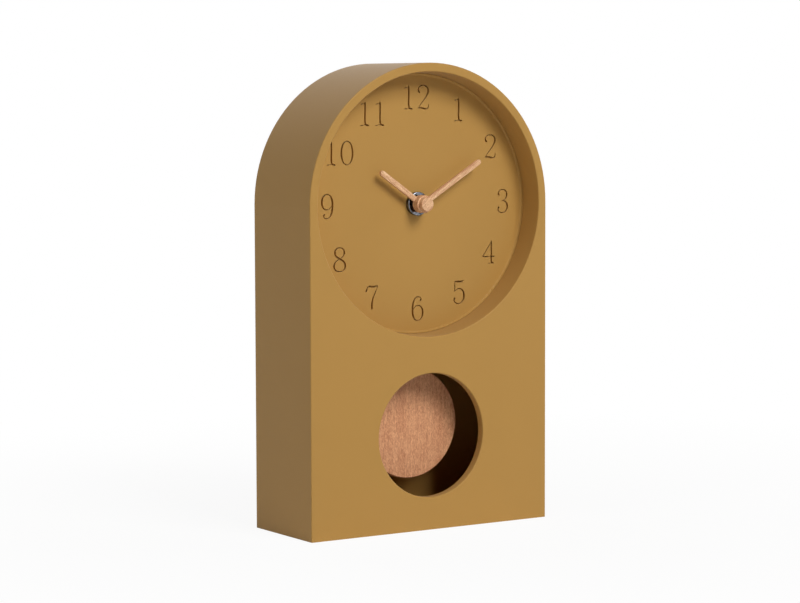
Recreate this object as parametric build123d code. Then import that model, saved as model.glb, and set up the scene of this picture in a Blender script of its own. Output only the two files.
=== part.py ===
from build123d import *

import math
import os

# Desk pendulum clock: an arched moulded case, a sunk dial, a quartz movement and a wooden bob.
# X runs to the right as seen from the front, Y to the back and Z up.
# The origin is the middle of the base. Lengths are in millimetres and angles in degrees.

# Case moulding
case_width = 150.0
case_depth = 57.5
side_wall = 3.0
front_wall = 3.0
floor_wall = 3.0
front_edge_round = 0.6
window_radius = 33.25
window_sill = 17.55
window_lip = 4.5
window_flange = 2.2
opening_round = 0.6
recess_depth = 15.0
recess_margin = 4.7
recess_draft = 0.7
recess_band = 19.65
recess_wall = 2.4
rib_thickness = 1.6
rib_height = 5.0
rib_offset = 46.0
overrun = 1.0

# Dial plate, which seats on the back end of the recess wall
dial_thickness = 2.4
dial_gap = 0.3
cove_radius = 0.9
cove_rim = 0.3
dial_rim_gap = 0.1
ear_radius = 4.2
ear_angle = 45.0
ear_offset = 3.4
lug_angle = 50.0
lug_size = 1.4
lug_width = 9.0
lug_gap = 0.05

# Screws and the posts that take them
post_radius = 4.0
post_inset_x = 9.0
post_low = 9.0
post_drop = 62.0
screw_radius = 1.25
screw_clearance = 0.05
screw_length = 9.0
screw_head_radius = 2.4
screw_head_height = 1.3
screw_hole_radius = 1.6
head_recess_gap = 0.3
pilot_depth = 12.0
dial_pilot = 10.0
slot_width = 0.7
slot_depth = 0.6

# Back cover, let into a rebate, with a hook at its top and a rim inside the walls
cover_thickness = 2.5
cover_ledge = 1.4
cover_gap = 0.25
cover_rim_wall = 1.2
cover_rim_height = 4.0
cover_rim_gap = 0.3
access_side_margin = 7.0
access_low_margin = 11.0
access_high_margin = 4.0
access_round = 8.0
access_flange = 1.4
access_flange_height = 3.0
web_setback = 1.0
hook_width = 12.0
hook_thickness = 1.8
hook_lip = 2.4
hook_gap = 0.3
shelf_width = 18.0
shelf_drop = 5.0
shelf_thickness = 1.6

# Movement housing, which is as wide and deep as its battery asks
movement_rise = 28.0
housing_wall = 1.5
housing_corner = 3.0
parting_depth = 9.5
partition = 1.0
washer_thickness = 0.8
washer_radius = 9.0
stem_radius = 3.95
stem_gap = 0.2
stem_stand = 3.7
stem_hub_gap = 0.4
nut_radius = 6.35
nut_height = 2.7
nut_round = 0.5
nut_clearance = 0.05
clip_width = 7.0
clip_thickness = 0.9
clip_reach = 4.0

# Running fits
arbor_clearance = 0.07
thrust_gap = 0.5
plate_gap = 0.5
gear_room_gap = 0.3

# Gear trains: tooth counts, and the centre distances that give each pair its module
rotor_pinion_teeth = 8
fifth_wheel_teeth = 48
fifth_pinion_teeth = 8
seconds_wheel_teeth = 40
seconds_pinion_teeth = 8
third_wheel_teeth = 60
third_pinion_teeth = 8
minute_wheel_teeth = 64
cannon_teeth = 12
reverse_wheel_teeth = 36
reverse_pinion_teeth = 10
hour_wheel_teeth = 40
setting_teeth = 14
third_distance = 11.16
fifth_distance = 7.68
rotor_distance = 7.0
reverse_distance = 9.12
third_direction = 120.0
fifth_direction = 10.0
rotor_direction = -35.0
reverse_direction = 180.0
setting_direction = 210.0
addendum_share = 0.85
dedendum_share = 1.25
wheel_root_share = 0.62
wheel_tip_share = 0.22
pinion_root_share = 0.50
pinion_tip_share = 0.20
gear_thickness = 0.9
spoke_count = 4
spoke_width = 1.3
wheel_rim = 1.1
hub_margin = 0.9

# Arbors and tubes of the hands, one inside the other
seconds_arbor_radius = 0.45
minute_bore_radius = 0.52
minute_tube_radius = 1.6
minute_tail_radius = 1.3
hour_bore_radius = 1.68
hour_tube_radius = 2.6
small_arbor_radius = 0.45
bearing_radius = 1.6
reverse_post_radius = 0.8
reverse_hub_wall = 0.4
setting_shaft_radius = 1.0
knob_radius = 5.0
knob_height = 3.5
knob_teeth = 20
knob_groove = 0.5
knob_gap = 0.3

# Train plate and the pegs that carry it
train_plate_thickness = 1.0
peg_radius = 1.0
peg_post_radius = 2.0
peg_inset = 3.0
peg_side_inset = 3.2
plate_coil_gap = 1.8
plate_side_gap = 0.3

# Stepping motor
rotor_magnet_radius = 2.6
rotor_magnet_length = 2.2
stator_thickness = 1.0
stator_bore = 2.95
stator_ring = 1.7
stator_bar = 3.4
motor_wall_gap = 0.3
coil_core_width = 2.0
coil_core_thickness = 0.8
coil_core_gap = 0.1
motor_coil_radius = 3.3
motor_flange_radius = 3.6
motor_flange = 1.0
motor_tube_radius = 1.6

# Circuit board
board_wall_gap = 0.3
board_wheel_gap = 1.5
board_height = 17.0
board_thickness = 1.0
board_rise = 4.25
chip_radius = 2.4
chip_height = 1.0
chip_inset = 4.0
crystal_radius = 1.0
crystal_length = 6.0
crystal_inset = 1.9

# Battery and its contacts
battery_radius = 7.0
battery_length = 49.3
battery_nub_radius = 2.7
battery_nub_length = 1.2
battery_gap = 0.5
battery_seat_gap = 0.3
battery_back_gap = 0.7
battery_round = 0.8
contact_thickness = 0.3
contact_width = 9.0
contact_spring = 1.3

# Pendulum drive
pivot_below_divider = 5.0
pivot_radius = 0.8
pivot_clearance = 0.06
pivot_boss_radius = 2.2
lever_hub_radius = 3.2
lever_thickness = 2.5
lever_width = 5.0
lever_setback = 3.35
lever_tail = 5.0
lever_gap = 0.4
swing_angle = 6.0
swing_room = 0.6
magnet_radius = 4.0
magnet_drop = 15.0
magnet_wall = 1.2
magnet_clearance = 0.05
drive_coil_radius = 7.0
drive_coil_gap = 1.4
drive_coil_setback = 2.05
drive_coil_room = 2.5
drive_flange = 0.7
drive_tube_radius = 2.2
drive_peg_radius = 1.5
drive_board_width = 12.0
drive_board_height = 20.0
drive_board_inset = 1.0
lug_pin_radius = 1.2
lug_pin_length = 0.9
lug_head_radius = 1.9
lug_head_height = 0.5
lug_drop = 2.5

# Pendulum
rod_width = 4.0
rod_thickness = 0.6
rod_gap = 0.05
rod_head_radius = 3.5
keyhole_gap = 0.15
keyhole_drop = 3.6
rod_end_drop = 16.0
bob_radius = 29.85
bob_thickness = 5.0
bob_rise = 4.2
bob_edge = 0.5

# Hands
hand_width = 2.8
hour_hand_length = 31.0
hour_hub_radius = 4.7
hour_hub_height = 1.8
hour_bar_setback = 0.2
hour_bar_thickness = 1.5
hour_tube_sunk = 0.75
minute_hand_length = 43.2
minute_hub_radius = 4.7
minute_hub_height = 2.5
minute_bar_thickness = 1.3
collar_radius = 3.75
collar_height = 2.95
collar_edge = 0.25
hand_gap = 0.3
minute_tube_sunk = 1.0
hour_angle = -55.5
minute_angle = 58.7

# Outline of the case
half_width = case_width / 2
inner_half = half_width - side_wall
recess_front_radius = half_width - recess_margin
recess_back_radius = recess_front_radius - recess_draft
window_height = window_sill + window_radius
spring_height = window_height + window_radius + recess_band + recess_front_radius
hands_place = (0, spring_height)

# Depths, from the front face to the back
front = -case_depth / 2
back = case_depth / 2
cover_face = back - cover_thickness
dial_face = front + recess_depth
dial_rear = dial_face + dial_thickness
movement_face = dial_rear + washer_thickness
inner_face = movement_face + housing_wall
battery_depth = inner_face + battery_seat_gap + battery_radius
movement_rear = battery_depth + battery_radius + battery_back_gap
inner_rear = movement_rear - housing_wall
parting = movement_face + parting_depth
layer_pitch = gear_thickness + plate_gap
hour_layer = inner_face + thrust_gap
reverse_layer = hour_layer + layer_pitch
minute_layer = reverse_layer + layer_pitch
plate_near = minute_layer + layer_pitch
plate_far = plate_near + train_plate_thickness
plate_middle = (plate_near + plate_far) / 2
third_layer = plate_far + plate_gap
seconds_layer = third_layer + layer_pitch
fifth_layer = seconds_layer + layer_pitch
bearing_near = fifth_layer + layer_pitch
arbor_far = bearing_near + thrust_gap
stator_near = third_layer + plate_gap
stator_far = stator_near + stator_thickness
coil_axis_depth = stator_far + coil_core_gap + coil_core_thickness / 2
lever_near = inner_face + lever_setback
lever_far = lever_near + lever_thickness
rod_near = lever_far + rod_gap
rod_far = rod_near + rod_thickness
bob_near = rod_far - bob_thickness
drive_coil_near = lever_far + drive_coil_gap
drive_coil_far = inner_rear - drive_coil_setback
knob_near = movement_rear + knob_gap
shelf_near = cover_face - cover_rim_height - hook_gap - shelf_thickness

# Depths of the stem and the hands in front of the dial
stem_end = dial_face - stem_stand
hour_hub_far = stem_end - stem_hub_gap
hour_hub_near = hour_hub_far - hour_hub_height
hour_tube_end = hour_hub_near + hour_tube_sunk
minute_hub_far = hour_hub_near - hand_gap
minute_hub_near = minute_hub_far - minute_hub_height
collar_near = minute_hub_near - collar_height
minute_tube_end = minute_hub_near - minute_tube_sunk


def away(distance, direction, start=(0, 0)):
    """The point at a distance and direction from another one."""
    angle = math.radians(direction)
    return start[0] + distance * math.cos(angle), start[1] + distance * math.sin(angle)


def module_of(distance, teeth, mate_teeth):
    """The module at which two gears mesh at a centre distance."""
    return 2 * distance / (teeth + mate_teeth)


def tip_radius(teeth, module):
    """Outer radius of a gear."""
    return teeth * module / 2 + addendum_share * module


# Gear modules and the places of the arbors
third_pair = module_of(third_distance, minute_wheel_teeth, third_pinion_teeth)
seconds_pair = module_of(third_distance, third_wheel_teeth, seconds_pinion_teeth)
fifth_pair = module_of(fifth_distance, seconds_wheel_teeth, fifth_pinion_teeth)
rotor_pair = module_of(rotor_distance, fifth_wheel_teeth, rotor_pinion_teeth)
hour_pair = module_of(reverse_distance, hour_wheel_teeth, reverse_pinion_teeth)
cannon_pair = module_of(reverse_distance, cannon_teeth, reverse_wheel_teeth)
third_place = away(third_distance, third_direction, hands_place)
to_hands = third_direction + 180
fifth_place = away(fifth_distance, fifth_direction, hands_place)
rotor_place = away(rotor_distance, rotor_direction, fifth_place)
reverse_place = away(reverse_distance, reverse_direction, hands_place)
setting_distance = cannon_pair * (reverse_wheel_teeth + setting_teeth) / 2
setting_place = away(setting_distance, setting_direction, reverse_place)

# Rooms of the movement: gears above, the battery under them and the pendulum drive below
inner_half_movement = (
    battery_length + battery_nub_length + contact_spring + 2 * (contact_thickness + battery_seat_gap)
) / 2
half_movement = inner_half_movement + housing_wall
battery_bay = 2 * (battery_radius + battery_gap)
gear_floor = spring_height - tip_radius(minute_wheel_teeth, third_pair) - gear_room_gap
bay_top = gear_floor - partition
bay_floor = bay_top - battery_bay
divider = bay_floor - housing_wall
battery_height = bay_floor + battery_bay / 2
pivot_height = divider - pivot_below_divider
magnet_height = pivot_height - magnet_drop
movement_top = spring_height + movement_rise
movement_bottom = magnet_height - drive_coil_radius - drive_coil_room - housing_wall
gear_ceiling = movement_top - housing_wall
lug_height = movement_bottom - lug_drop
battery_left = -inner_half_movement + contact_thickness + contact_spring + battery_seat_gap

# Motor, circuit board and train plate
motor_coil_x = inner_half_movement - motor_wall_gap - motor_flange_radius
plate_right = motor_coil_x - motor_flange_radius - plate_coil_gap
stator_top = gear_ceiling - peg_inset + peg_radius
stator_bottom = gear_floor + thrust_gap
coil_bottom = stator_bottom + stator_bar + plate_gap
coil_top = stator_top - stator_bar - plate_gap
board_left = -inner_half_movement + board_wall_gap
board_right = third_place[0] - tip_radius(third_wheel_teeth, seconds_pair) - board_wheel_gap
board_bottom = setting_place[1] + setting_shaft_radius + board_rise
board_top = board_bottom + board_height
peg_places = [
    (x, z)
    for x in (-inner_half_movement + peg_inset, plate_right - peg_side_inset)
    for z in (gear_floor + peg_inset, gear_ceiling - peg_inset)
]

# Pendulum, back cover and posts
bob_height = window_height + bob_rise
access_half = half_movement + access_side_margin
access_bottom = movement_bottom - access_low_margin
access_top = movement_top + access_high_margin
post_x = half_width - post_inset_x
post_high = spring_height - post_drop
post_places = [(side * post_x, height) for side in (-1, 1) for height in (post_low, post_high)]
ear_reach = recess_front_radius + recess_wall + ear_offset
ear_places = [away(ear_reach, angle, hands_place) for angle in (ear_angle - 180, -ear_angle)]


hands_axis = Axis((0, 0, spring_height), (0, 1, 0))


# Shapes drawn in X and Z, and made solid between two depths
def slab(face, near, far):
    """A drawing made solid from the near depth to the far one."""
    return extrude(Plane.XZ.offset(-far) * face, far - near)


def disc(radius, near, far, place=hands_place):
    """A round bar along the depth, on the hands' axis unless it has a place of its own."""
    return slab(Pos(*place) * Circle(radius), near, far)


def tube(outer, inner, near, far, place=hands_place):
    """A ring along the depth."""
    return slab(Pos(*place) * (Circle(outer) - Circle(inner)), near, far)


def panel(left, right, bottom, top, corner=0):
    """An upright rectangle, with round corners if a radius is given."""
    width, height = right - left, top - bottom
    shape = RectangleRounded(width, height, corner) if corner else Rectangle(width, height)
    return Pos((left + right) / 2, (bottom + top) / 2) * shape


def block(left, right, bottom, top, near, far):
    """A square-edged block between its six faces."""
    return slab(panel(left, right, bottom, top), near, far)


def arch(half, floor):
    """The outline of the case at one half width: straight sides under a half-round top."""
    left_spring = (-half, spring_height)
    right_spring = (half, spring_height)
    sides = Polyline(left_spring, (-half, floor), (half, floor), right_spring)
    top = ThreePointArc(right_spring, (0, spring_height + half), left_spring)
    return make_face(sides.edges() + top.edges())


def cone(near_radius, far_radius, near, far):
    """A tapered bar along the hands' axis."""
    solid = Cone(far_radius, near_radius, far - near, align=(Align.CENTER, Align.CENTER, Align.MIN))
    return Plane.XZ.offset(-far) * Pos(*hands_place) * solid


def turned(points, arcs):
    """A ring turned about the axis of the hands; arcs gives the middle of an arc that starts at a point."""
    lines = []
    for start, end in zip(points, points[1:] + points[:1]):
        lines.append(ThreePointArc(start, arcs[start], end) if start in arcs else Line(start, end))
    face = make_face([edge for line in lines for edge in line.edges()])
    return revolve(Plane.XY.offset(spring_height) * face, hands_axis)


# Case
def make_case_shell():
    """The one-piece moulding: walls, dial recess, window, screw posts, ribs and dial lugs."""
    shell = slab(arch(half_width, 0), front, back)
    front_outline = shell.faces().sort_by(Axis.Y)[0].edges()
    shell = fillet(front_outline.filter_by(lambda edge: edge.center().Z > floor_wall), front_edge_round)
    shell -= slab(arch(inner_half, floor_wall), front + front_wall, back + overrun)
    shell -= slab(arch(inner_half + cover_ledge, floor_wall - cover_ledge), cover_face, back + overrun)
    shell += disc(recess_front_radius + recess_wall, front + front_wall, dial_face)
    shell += disc(window_radius + window_flange, front + front_wall, front + window_lip, (0, window_height))
    shell += case_ribs()
    shell += screw_posts()
    shell -= cone(recess_front_radius, recess_back_radius, front, dial_face)
    shell -= disc(window_radius, front - overrun, front + window_lip + overrun, (0, window_height))
    shell += dial_lugs()
    shelf_bottom = spring_height + inner_half - shelf_drop
    shelf_top = spring_height + half_width - side_wall / 2
    shelf_far = shelf_near + shelf_thickness
    shell += block(-shelf_width / 2, shelf_width / 2, shelf_bottom, shelf_top, shelf_near, shelf_far)
    mouth = [edge for edge in shell.edges().filter_by(GeomType.CIRCLE) if is_mouth(edge)]
    return fillet(mouth, opening_round)


def is_mouth(edge):
    """The round edges where the dial recess and the window meet the front face."""
    close = opening_round / 2
    at_front = abs(edge.center().Y - front) < close
    radii = (window_radius, recess_front_radius)
    return at_front and any(abs(edge.radius - radius) < close for radius in radii)


def case_ribs():
    """Stiffening ribs behind the front wall, from the floor up to the recess wall."""
    near = front + front_wall
    half = rib_thickness / 2
    ribs = []
    for x in (-rib_offset, rib_offset):
        ribs.append(block(x - half, x + half, floor_wall, recess_bottom(x), near, near + rib_height))
    return Compound(ribs)


def recess_bottom(x):
    """Height at which an upright rib at x meets the recess wall."""
    reach = recess_front_radius + recess_wall / 2
    return spring_height - math.sqrt(reach**2 - x**2)


def screw_posts():
    """Posts for the back cover and the dial, tied to the nearest wall, with pilot holes."""
    near = front + front_wall
    web_far = cover_face - cover_rim_height - web_setback
    half = rib_thickness / 2
    posts = []
    for x, z in post_places:
        left, right = sorted((x, math.copysign(half_width - side_wall / 2, x)))
        posts.append(disc(post_radius, near, cover_face, (x, z)))
        posts.append(block(left, right, z - half, z + half, near, web_far))
    for place in ear_places:
        posts.append(disc(ear_radius - dial_gap, near, dial_face, place))
    solid = posts[0].fuse(*posts[1:])
    hole_radius = screw_radius + screw_clearance
    for place in post_places:
        solid -= disc(hole_radius, cover_face - pilot_depth, cover_face + overrun, place)
    for place in ear_places:
        solid -= disc(hole_radius, dial_face - dial_pilot, dial_face + overrun, place)
    return solid


def dial_lugs():
    """Snap lugs on the arch that hold the dial plate against its seat."""
    near = dial_rear + lug_gap
    far = near + 2 * lug_size
    wall = inner_half + side_wall / 2
    tip = inner_half - lug_size
    profile = Polyline((tip, near), (wall, near), (wall, far), (inner_half, far), close=True)
    sweep = math.degrees(lug_width / inner_half)
    lug = revolve(Plane.XY.offset(spring_height) * make_face(profile.edges()), hands_axis, sweep)
    turns = [-90 + angle - sweep / 2 for angle in (-lug_angle, 0, lug_angle)]
    return Compound([lug.rotate(hands_axis, turn) for turn in turns])


def make_dial_plate():
    """The dial: a plate with a coved raised rim inside the recess, and two screw ears."""
    bore = stem_radius + stem_gap
    edge = inner_half - dial_gap
    rim = recess_back_radius - dial_rim_gap
    cove_top = rim - cove_rim
    cove_foot = (cove_top - cove_radius, dial_face)
    rim_near = dial_face - cove_radius
    diagonal = cove_radius * (1 - math.sqrt(1 / 2))
    points = [
        (bore, dial_face), cove_foot, (cove_top, rim_near), (rim, rim_near), (rim, dial_face),
        (edge, dial_face), (edge, dial_rear), (bore, dial_rear),
    ]
    plate = turned(points, {cove_foot: (cove_top - diagonal, dial_face - diagonal)})
    for place in ear_places:
        plate += slab(rounded_link(ear_radius, place, ear_foot(place)), dial_face, dial_rear)
        plate -= disc(screw_hole_radius, dial_face - overrun, dial_rear + overrun, place)
    return plate


def ear_foot(place):
    """Where an ear's middle line enters the dial plate."""
    inward = (ear_reach - ear_radius - ear_offset) / ear_reach
    return place[0] * inward, spring_height + (place[1] - spring_height) * inward


def rounded_link(radius, start, end):
    """A bar with round ends about two points."""
    rounds = [Circle(radius).moved(Pos(*place)) for place in (start, end)]
    return make_hull([edge for face in rounds for edge in face.edges()])


def make_back_cover():
    """The back: a flat panel with an access opening, an inner rim, screw holes and a top hook."""
    margin = side_wall - cover_ledge + cover_gap
    cover = slab(arch(half_width - margin, margin), cover_face, back)
    rim_half = inner_half - cover_rim_gap
    rim_floor = floor_wall + cover_rim_gap
    rim = arch(rim_half, rim_floor) - arch(rim_half - cover_rim_wall, rim_floor + cover_rim_wall)
    cover += slab(rim, cover_face - cover_rim_height, cover_face)
    access = panel(-access_half, access_half, access_bottom, access_top, access_round)
    flange = offset(access, access_flange)
    cover += slab(flange, cover_face - access_flange_height, cover_face)
    cover -= slab(access, cover_face - access_flange_height - overrun, back + overrun)
    sunk_head = screw_head_radius + head_recess_gap
    for place in post_places:
        cover -= disc(screw_hole_radius, cover_face - overrun, back + overrun, place)
        cover -= disc(sunk_head, back - screw_head_height, back + overrun, place)
    arm_top = spring_height + inner_half - shelf_drop - hook_gap
    lip_far = shelf_near - hook_gap
    lip_near = lip_far - hook_thickness
    half = hook_width / 2
    cover += block(-half, half, arm_top - hook_thickness, arm_top, lip_near, cover_face)
    cover += block(-half, half, arm_top, arm_top + hook_lip, lip_near, lip_far)
    notch_half = shelf_width / 2 + hook_gap
    notch_near = shelf_near - overrun
    notch_far = shelf_near + shelf_thickness + 2 * hook_gap
    case_top = spring_height + half_width
    return cover - block(-notch_half, notch_half, arm_top, case_top, notch_near, notch_far)


def screw(place, seat):
    """One pan-head screw from the back, its head on the seat and its shank towards the front."""
    shank = disc(screw_radius, seat - screw_length, seat, place)
    head = disc(screw_head_radius, seat, seat + screw_head_height, place)
    head = fillet(head.edges().sort_by(Axis.Y)[-1], screw_head_height / 3)
    cross = Rectangle(screw_head_radius, slot_width) + Rectangle(slot_width, screw_head_radius)
    top = seat + screw_head_height
    return shank + head - slab(Pos(*place) * cross, top - slot_depth, top + overrun)


def make_cover_screws():
    """Four screws that hold the back cover to its posts."""
    return Compound([screw(place, back - screw_head_height) for place in post_places])


def make_dial_screws():
    """Two screws through the dial's ears."""
    return Compound([screw(place, dial_rear) for place in ear_places])


# Gears
def gear_face(teeth, module, phase, root_share, tip_share):
    """A toothed outline whose straight flanks leave running clearance on both sides."""
    pitch = teeth * module / 2
    step = 360 / teeth
    root = pitch - dedendum_share * module
    tip = pitch + addendum_share * module
    corners = []
    for number in range(teeth):
        middle = phase + number * step
        for radius, share in ((root, -root_share), (tip, -tip_share), (tip, tip_share), (root, root_share)):
            corners.append(away(radius, middle + share * step / 2))
    return make_face(Polyline(*corners, close=True).edges())


def wheel_face(teeth, module, phase, hub):
    """A wheel with spokes between its hub and its toothed rim."""
    face = gear_face(teeth, module, phase, wheel_root_share, wheel_tip_share)
    outer = teeth * module / 2 - dedendum_share * module - wheel_rim
    inner = hub + hub_margin
    gap = Circle(outer) - Circle(inner)
    for number in range(spoke_count):
        gap -= Rot(0, 0, number * 360 / spoke_count) * Pos(outer / 2) * Rectangle(outer, spoke_width)
    return face - gap


def pinion_face(teeth, module, phase):
    """A small gear with no spokes."""
    return gear_face(teeth, module, phase, pinion_root_share, pinion_tip_share)


def meshed(direction, teeth, phase, mate_teeth):
    """Phase of a mating gear, with one of its gaps where this gear has a tooth."""
    return direction + 180 + 180 / mate_teeth + (direction - phase) * teeth / mate_teeth


def layer(face, near, place):
    """One gear in its layer of the train."""
    return slab(Pos(*place) * face, near, near + gear_thickness)


def make_hour_wheel():
    """The wheel that turns twice a day, with the tube that carries the hour hand."""
    face = wheel_face(hour_wheel_teeth, hour_pair, reverse_direction, hour_tube_radius)
    wheel = layer(face, hour_layer, hands_place)
    wheel += disc(hour_tube_radius, hour_tube_end, hour_layer + gear_thickness)
    return wheel - disc(hour_bore_radius, front, back)


def make_minute_arbor():
    """The cannon pinion with its long tube, which carries the minute hand."""
    face = pinion_face(cannon_teeth, cannon_pair, reverse_direction)
    arbor = layer(face, reverse_layer, hands_place)
    arbor += disc(minute_tube_radius, minute_tube_end, reverse_layer)
    arbor += disc(minute_tail_radius, reverse_layer + gear_thickness, plate_far)
    return arbor - disc(minute_bore_radius, front, back)


def reverse_phase():
    """Phase of the reverse wheel, in mesh with the cannon pinion."""
    return meshed(reverse_direction, cannon_teeth, reverse_direction, reverse_wheel_teeth)


def make_reverse_wheel():
    """The wheel and pinion that slow the hour wheel to a twelfth of the minute arbor."""
    bore = reverse_post_radius + arbor_clearance
    hub = bore + reverse_hub_wall
    phase = meshed(reverse_direction, hour_wheel_teeth, reverse_direction, reverse_pinion_teeth)
    pinion = pinion_face(reverse_pinion_teeth, hour_pair, phase)
    wheel = wheel_face(reverse_wheel_teeth, cannon_pair, reverse_phase(), hub)
    solid = layer(pinion, hour_layer, reverse_place) + layer(wheel, reverse_layer, reverse_place)
    solid += disc(hub, hour_layer + gear_thickness, reverse_layer, reverse_place)
    return solid - disc(bore, front, back, reverse_place)


def make_setting_knob():
    """The hand-setting knob at the back, its shaft and its pinion, moulded in one."""
    phase = meshed(setting_direction, reverse_wheel_teeth, reverse_phase(), setting_teeth)
    knob_far = knob_near + knob_height
    knob = layer(pinion_face(setting_teeth, cannon_pair, phase), reverse_layer, setting_place)
    knob += disc(setting_shaft_radius, inner_face - housing_wall / 2, knob_far, setting_place)
    knob += slab(Pos(*setting_place) * knurled_face(), knob_near, knob_far)
    return knob


def knurled_face():
    """The knob's outline: shallow grooves round its edge."""
    corners = []
    for number in range(2 * knob_teeth):
        radius = knob_radius if number % 2 else knob_radius - knob_groove
        corners.append(away(radius, number * 180 / knob_teeth))
    return make_face(Polyline(*corners, close=True).edges())


def make_minute_wheel():
    """The wheel that turns once an hour and grips the minute arbor's tail by friction."""
    hub = minute_tail_radius + hub_margin
    face = wheel_face(minute_wheel_teeth, third_pair, third_direction, hub)
    face -= Circle(minute_tail_radius + arbor_clearance)
    return layer(face, minute_layer, hands_place)


def make_third_wheel():
    """The wheel between the minute wheel and the seconds wheel."""
    hub = small_arbor_radius + hub_margin
    phase = meshed(third_direction, minute_wheel_teeth, third_direction, third_pinion_teeth)
    pinion = pinion_face(third_pinion_teeth, third_pair, phase)
    wheel = wheel_face(third_wheel_teeth, seconds_pair, third_direction, hub)
    solid = layer(pinion, minute_layer, third_place) + layer(wheel, third_layer, third_place)
    return solid + disc(small_arbor_radius, inner_face - housing_wall / 2, arbor_far, third_place)


def make_seconds_wheel():
    """The wheel that turns once a minute, with a long arbor through the hands' tubes."""
    hub = small_arbor_radius + hub_margin
    phase = meshed(to_hands, third_wheel_teeth, to_hands, seconds_pinion_teeth)
    pinion = pinion_face(seconds_pinion_teeth, seconds_pair, phase)
    wheel = wheel_face(seconds_wheel_teeth, fifth_pair, fifth_direction, hub)
    solid = layer(pinion, third_layer, hands_place) + layer(wheel, seconds_layer, hands_place)
    solid += disc(hub, third_layer + gear_thickness, seconds_layer)
    return solid + disc(seconds_arbor_radius, minute_tube_end + hand_gap, arbor_far)


def make_fifth_wheel():
    """The wheel between the rotor and the seconds wheel."""
    hub = small_arbor_radius + hub_margin
    phase = meshed(fifth_direction, seconds_wheel_teeth, fifth_direction, fifth_pinion_teeth)
    pinion = pinion_face(fifth_pinion_teeth, fifth_pair, phase)
    wheel = wheel_face(fifth_wheel_teeth, rotor_pair, rotor_direction, hub)
    solid = layer(pinion, seconds_layer, fifth_place) + layer(wheel, fifth_layer, fifth_place)
    solid += disc(hub, seconds_layer + gear_thickness, fifth_layer, fifth_place)
    return solid + disc(small_arbor_radius, plate_middle, arbor_far, fifth_place)


def make_rotor_arbor():
    """The motor's arbor with its pinion."""
    phase = meshed(rotor_direction, fifth_wheel_teeth, rotor_direction, rotor_pinion_teeth)
    pinion = layer(pinion_face(rotor_pinion_teeth, rotor_pair, phase), fifth_layer, rotor_place)
    return pinion + disc(small_arbor_radius, plate_middle, arbor_far, rotor_place)


def make_rotor_magnet():
    """The ring magnet that turns in the stator."""
    near = (stator_near + stator_far - rotor_magnet_length) / 2
    return tube(rotor_magnet_radius, small_arbor_radius, near, near + rotor_magnet_length, rotor_place)


# Movement housing
def movement_outline():
    """The housing seen from the front."""
    return panel(-half_movement, half_movement, movement_bottom, movement_top, housing_corner)


def housing_rooms(near, far):
    """The three rooms of the housing: gears above, battery in the middle, pendulum drive below."""
    half = inner_half_movement
    gears = block(-half, half, gear_floor, gear_ceiling, near, far)
    bay = block(-half, half, bay_floor, bay_top, near, far)
    drive = block(-half, half, movement_bottom + housing_wall, divider, near, far)
    return gears + bay + drive


def lever_slot(near, far):
    """The slot in the housing's floor that the pendulum lever swings in."""
    reach = pivot_height - movement_bottom
    half = lever_width / 2 + reach * math.tan(math.radians(swing_angle)) + swing_room
    top = movement_bottom + housing_wall + overrun
    return block(-half, half, movement_bottom - overrun, top, near, far)


def make_movement_front():
    """The front half of the housing, with the stem that the nut clamps to the dial."""
    pivot_place = (0, pivot_height)
    body = slab(movement_outline(), movement_face, parting)
    body -= housing_rooms(inner_face, parting + overrun)
    body -= lever_slot(lever_near - lever_gap, parting + overrun)
    body += disc(stem_radius, stem_end, movement_face)
    for place in peg_places:
        body += disc(peg_post_radius, inner_face, plate_near, place)
        body += disc(peg_radius, plate_near, plate_far + plate_gap / 2, place)
    body += disc(bearing_radius, inner_face, reverse_layer, third_place)
    body += disc(reverse_post_radius, inner_face, reverse_layer + gear_thickness, reverse_place)
    body += disc(pivot_boss_radius, inner_face, lever_near - lever_gap, pivot_place)
    body -= disc(hour_tube_radius + arbor_clearance, stem_end - overrun, inner_face + overrun)
    bearing_floor = inner_face - housing_wall / 2 - hand_gap
    body -= disc(small_arbor_radius + arbor_clearance, bearing_floor, plate_near, third_place)
    body -= disc(setting_shaft_radius + arbor_clearance, bearing_floor, plate_near, setting_place)
    return body - disc(pivot_radius, inner_face, lever_near, pivot_place)


def make_movement_back():
    """The back half of the housing, open over the battery, with the bearings and side clips."""
    pivot_place = (0, pivot_height)
    bearing_places = (hands_place, fifth_place, rotor_place, third_place)
    half = inner_half_movement
    body = slab(movement_outline(), parting, movement_rear)
    body -= housing_rooms(parting - overrun, inner_rear)
    body -= block(-half, half, bay_floor, bay_top, parting, movement_rear + overrun)
    body -= lever_slot(parting - overrun, rod_far + lever_gap)
    for place in bearing_places:
        body += disc(bearing_radius, bearing_near, inner_rear, place)
    body += disc(pivot_boss_radius, lever_far + lever_gap, inner_rear, pivot_place)
    body += disc(drive_peg_radius, drive_coil_near, inner_rear, (0, magnet_height))
    body += side_clips()
    for place in bearing_places:
        body -= disc(small_arbor_radius + arbor_clearance, bearing_near - overrun, inner_rear, place)
    body -= disc(pivot_radius, lever_far, inner_rear, pivot_place)
    shaft_hole = setting_shaft_radius + arbor_clearance
    return body - disc(shaft_hole, inner_rear - overrun, movement_rear + overrun, setting_place)


def side_clips():
    """Clips on the sides of the back half that snap over the front half."""
    clips = []
    for side in (-1, 1):
        left, right = sorted((side * half_movement, side * (half_movement + clip_thickness)))
        for height in (pivot_height, gear_ceiling - clip_width):
            low = height - clip_width / 2
            clips.append(block(left, right, low, low + clip_width, parting - clip_reach, inner_rear))
    return Compound(clips)


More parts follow.
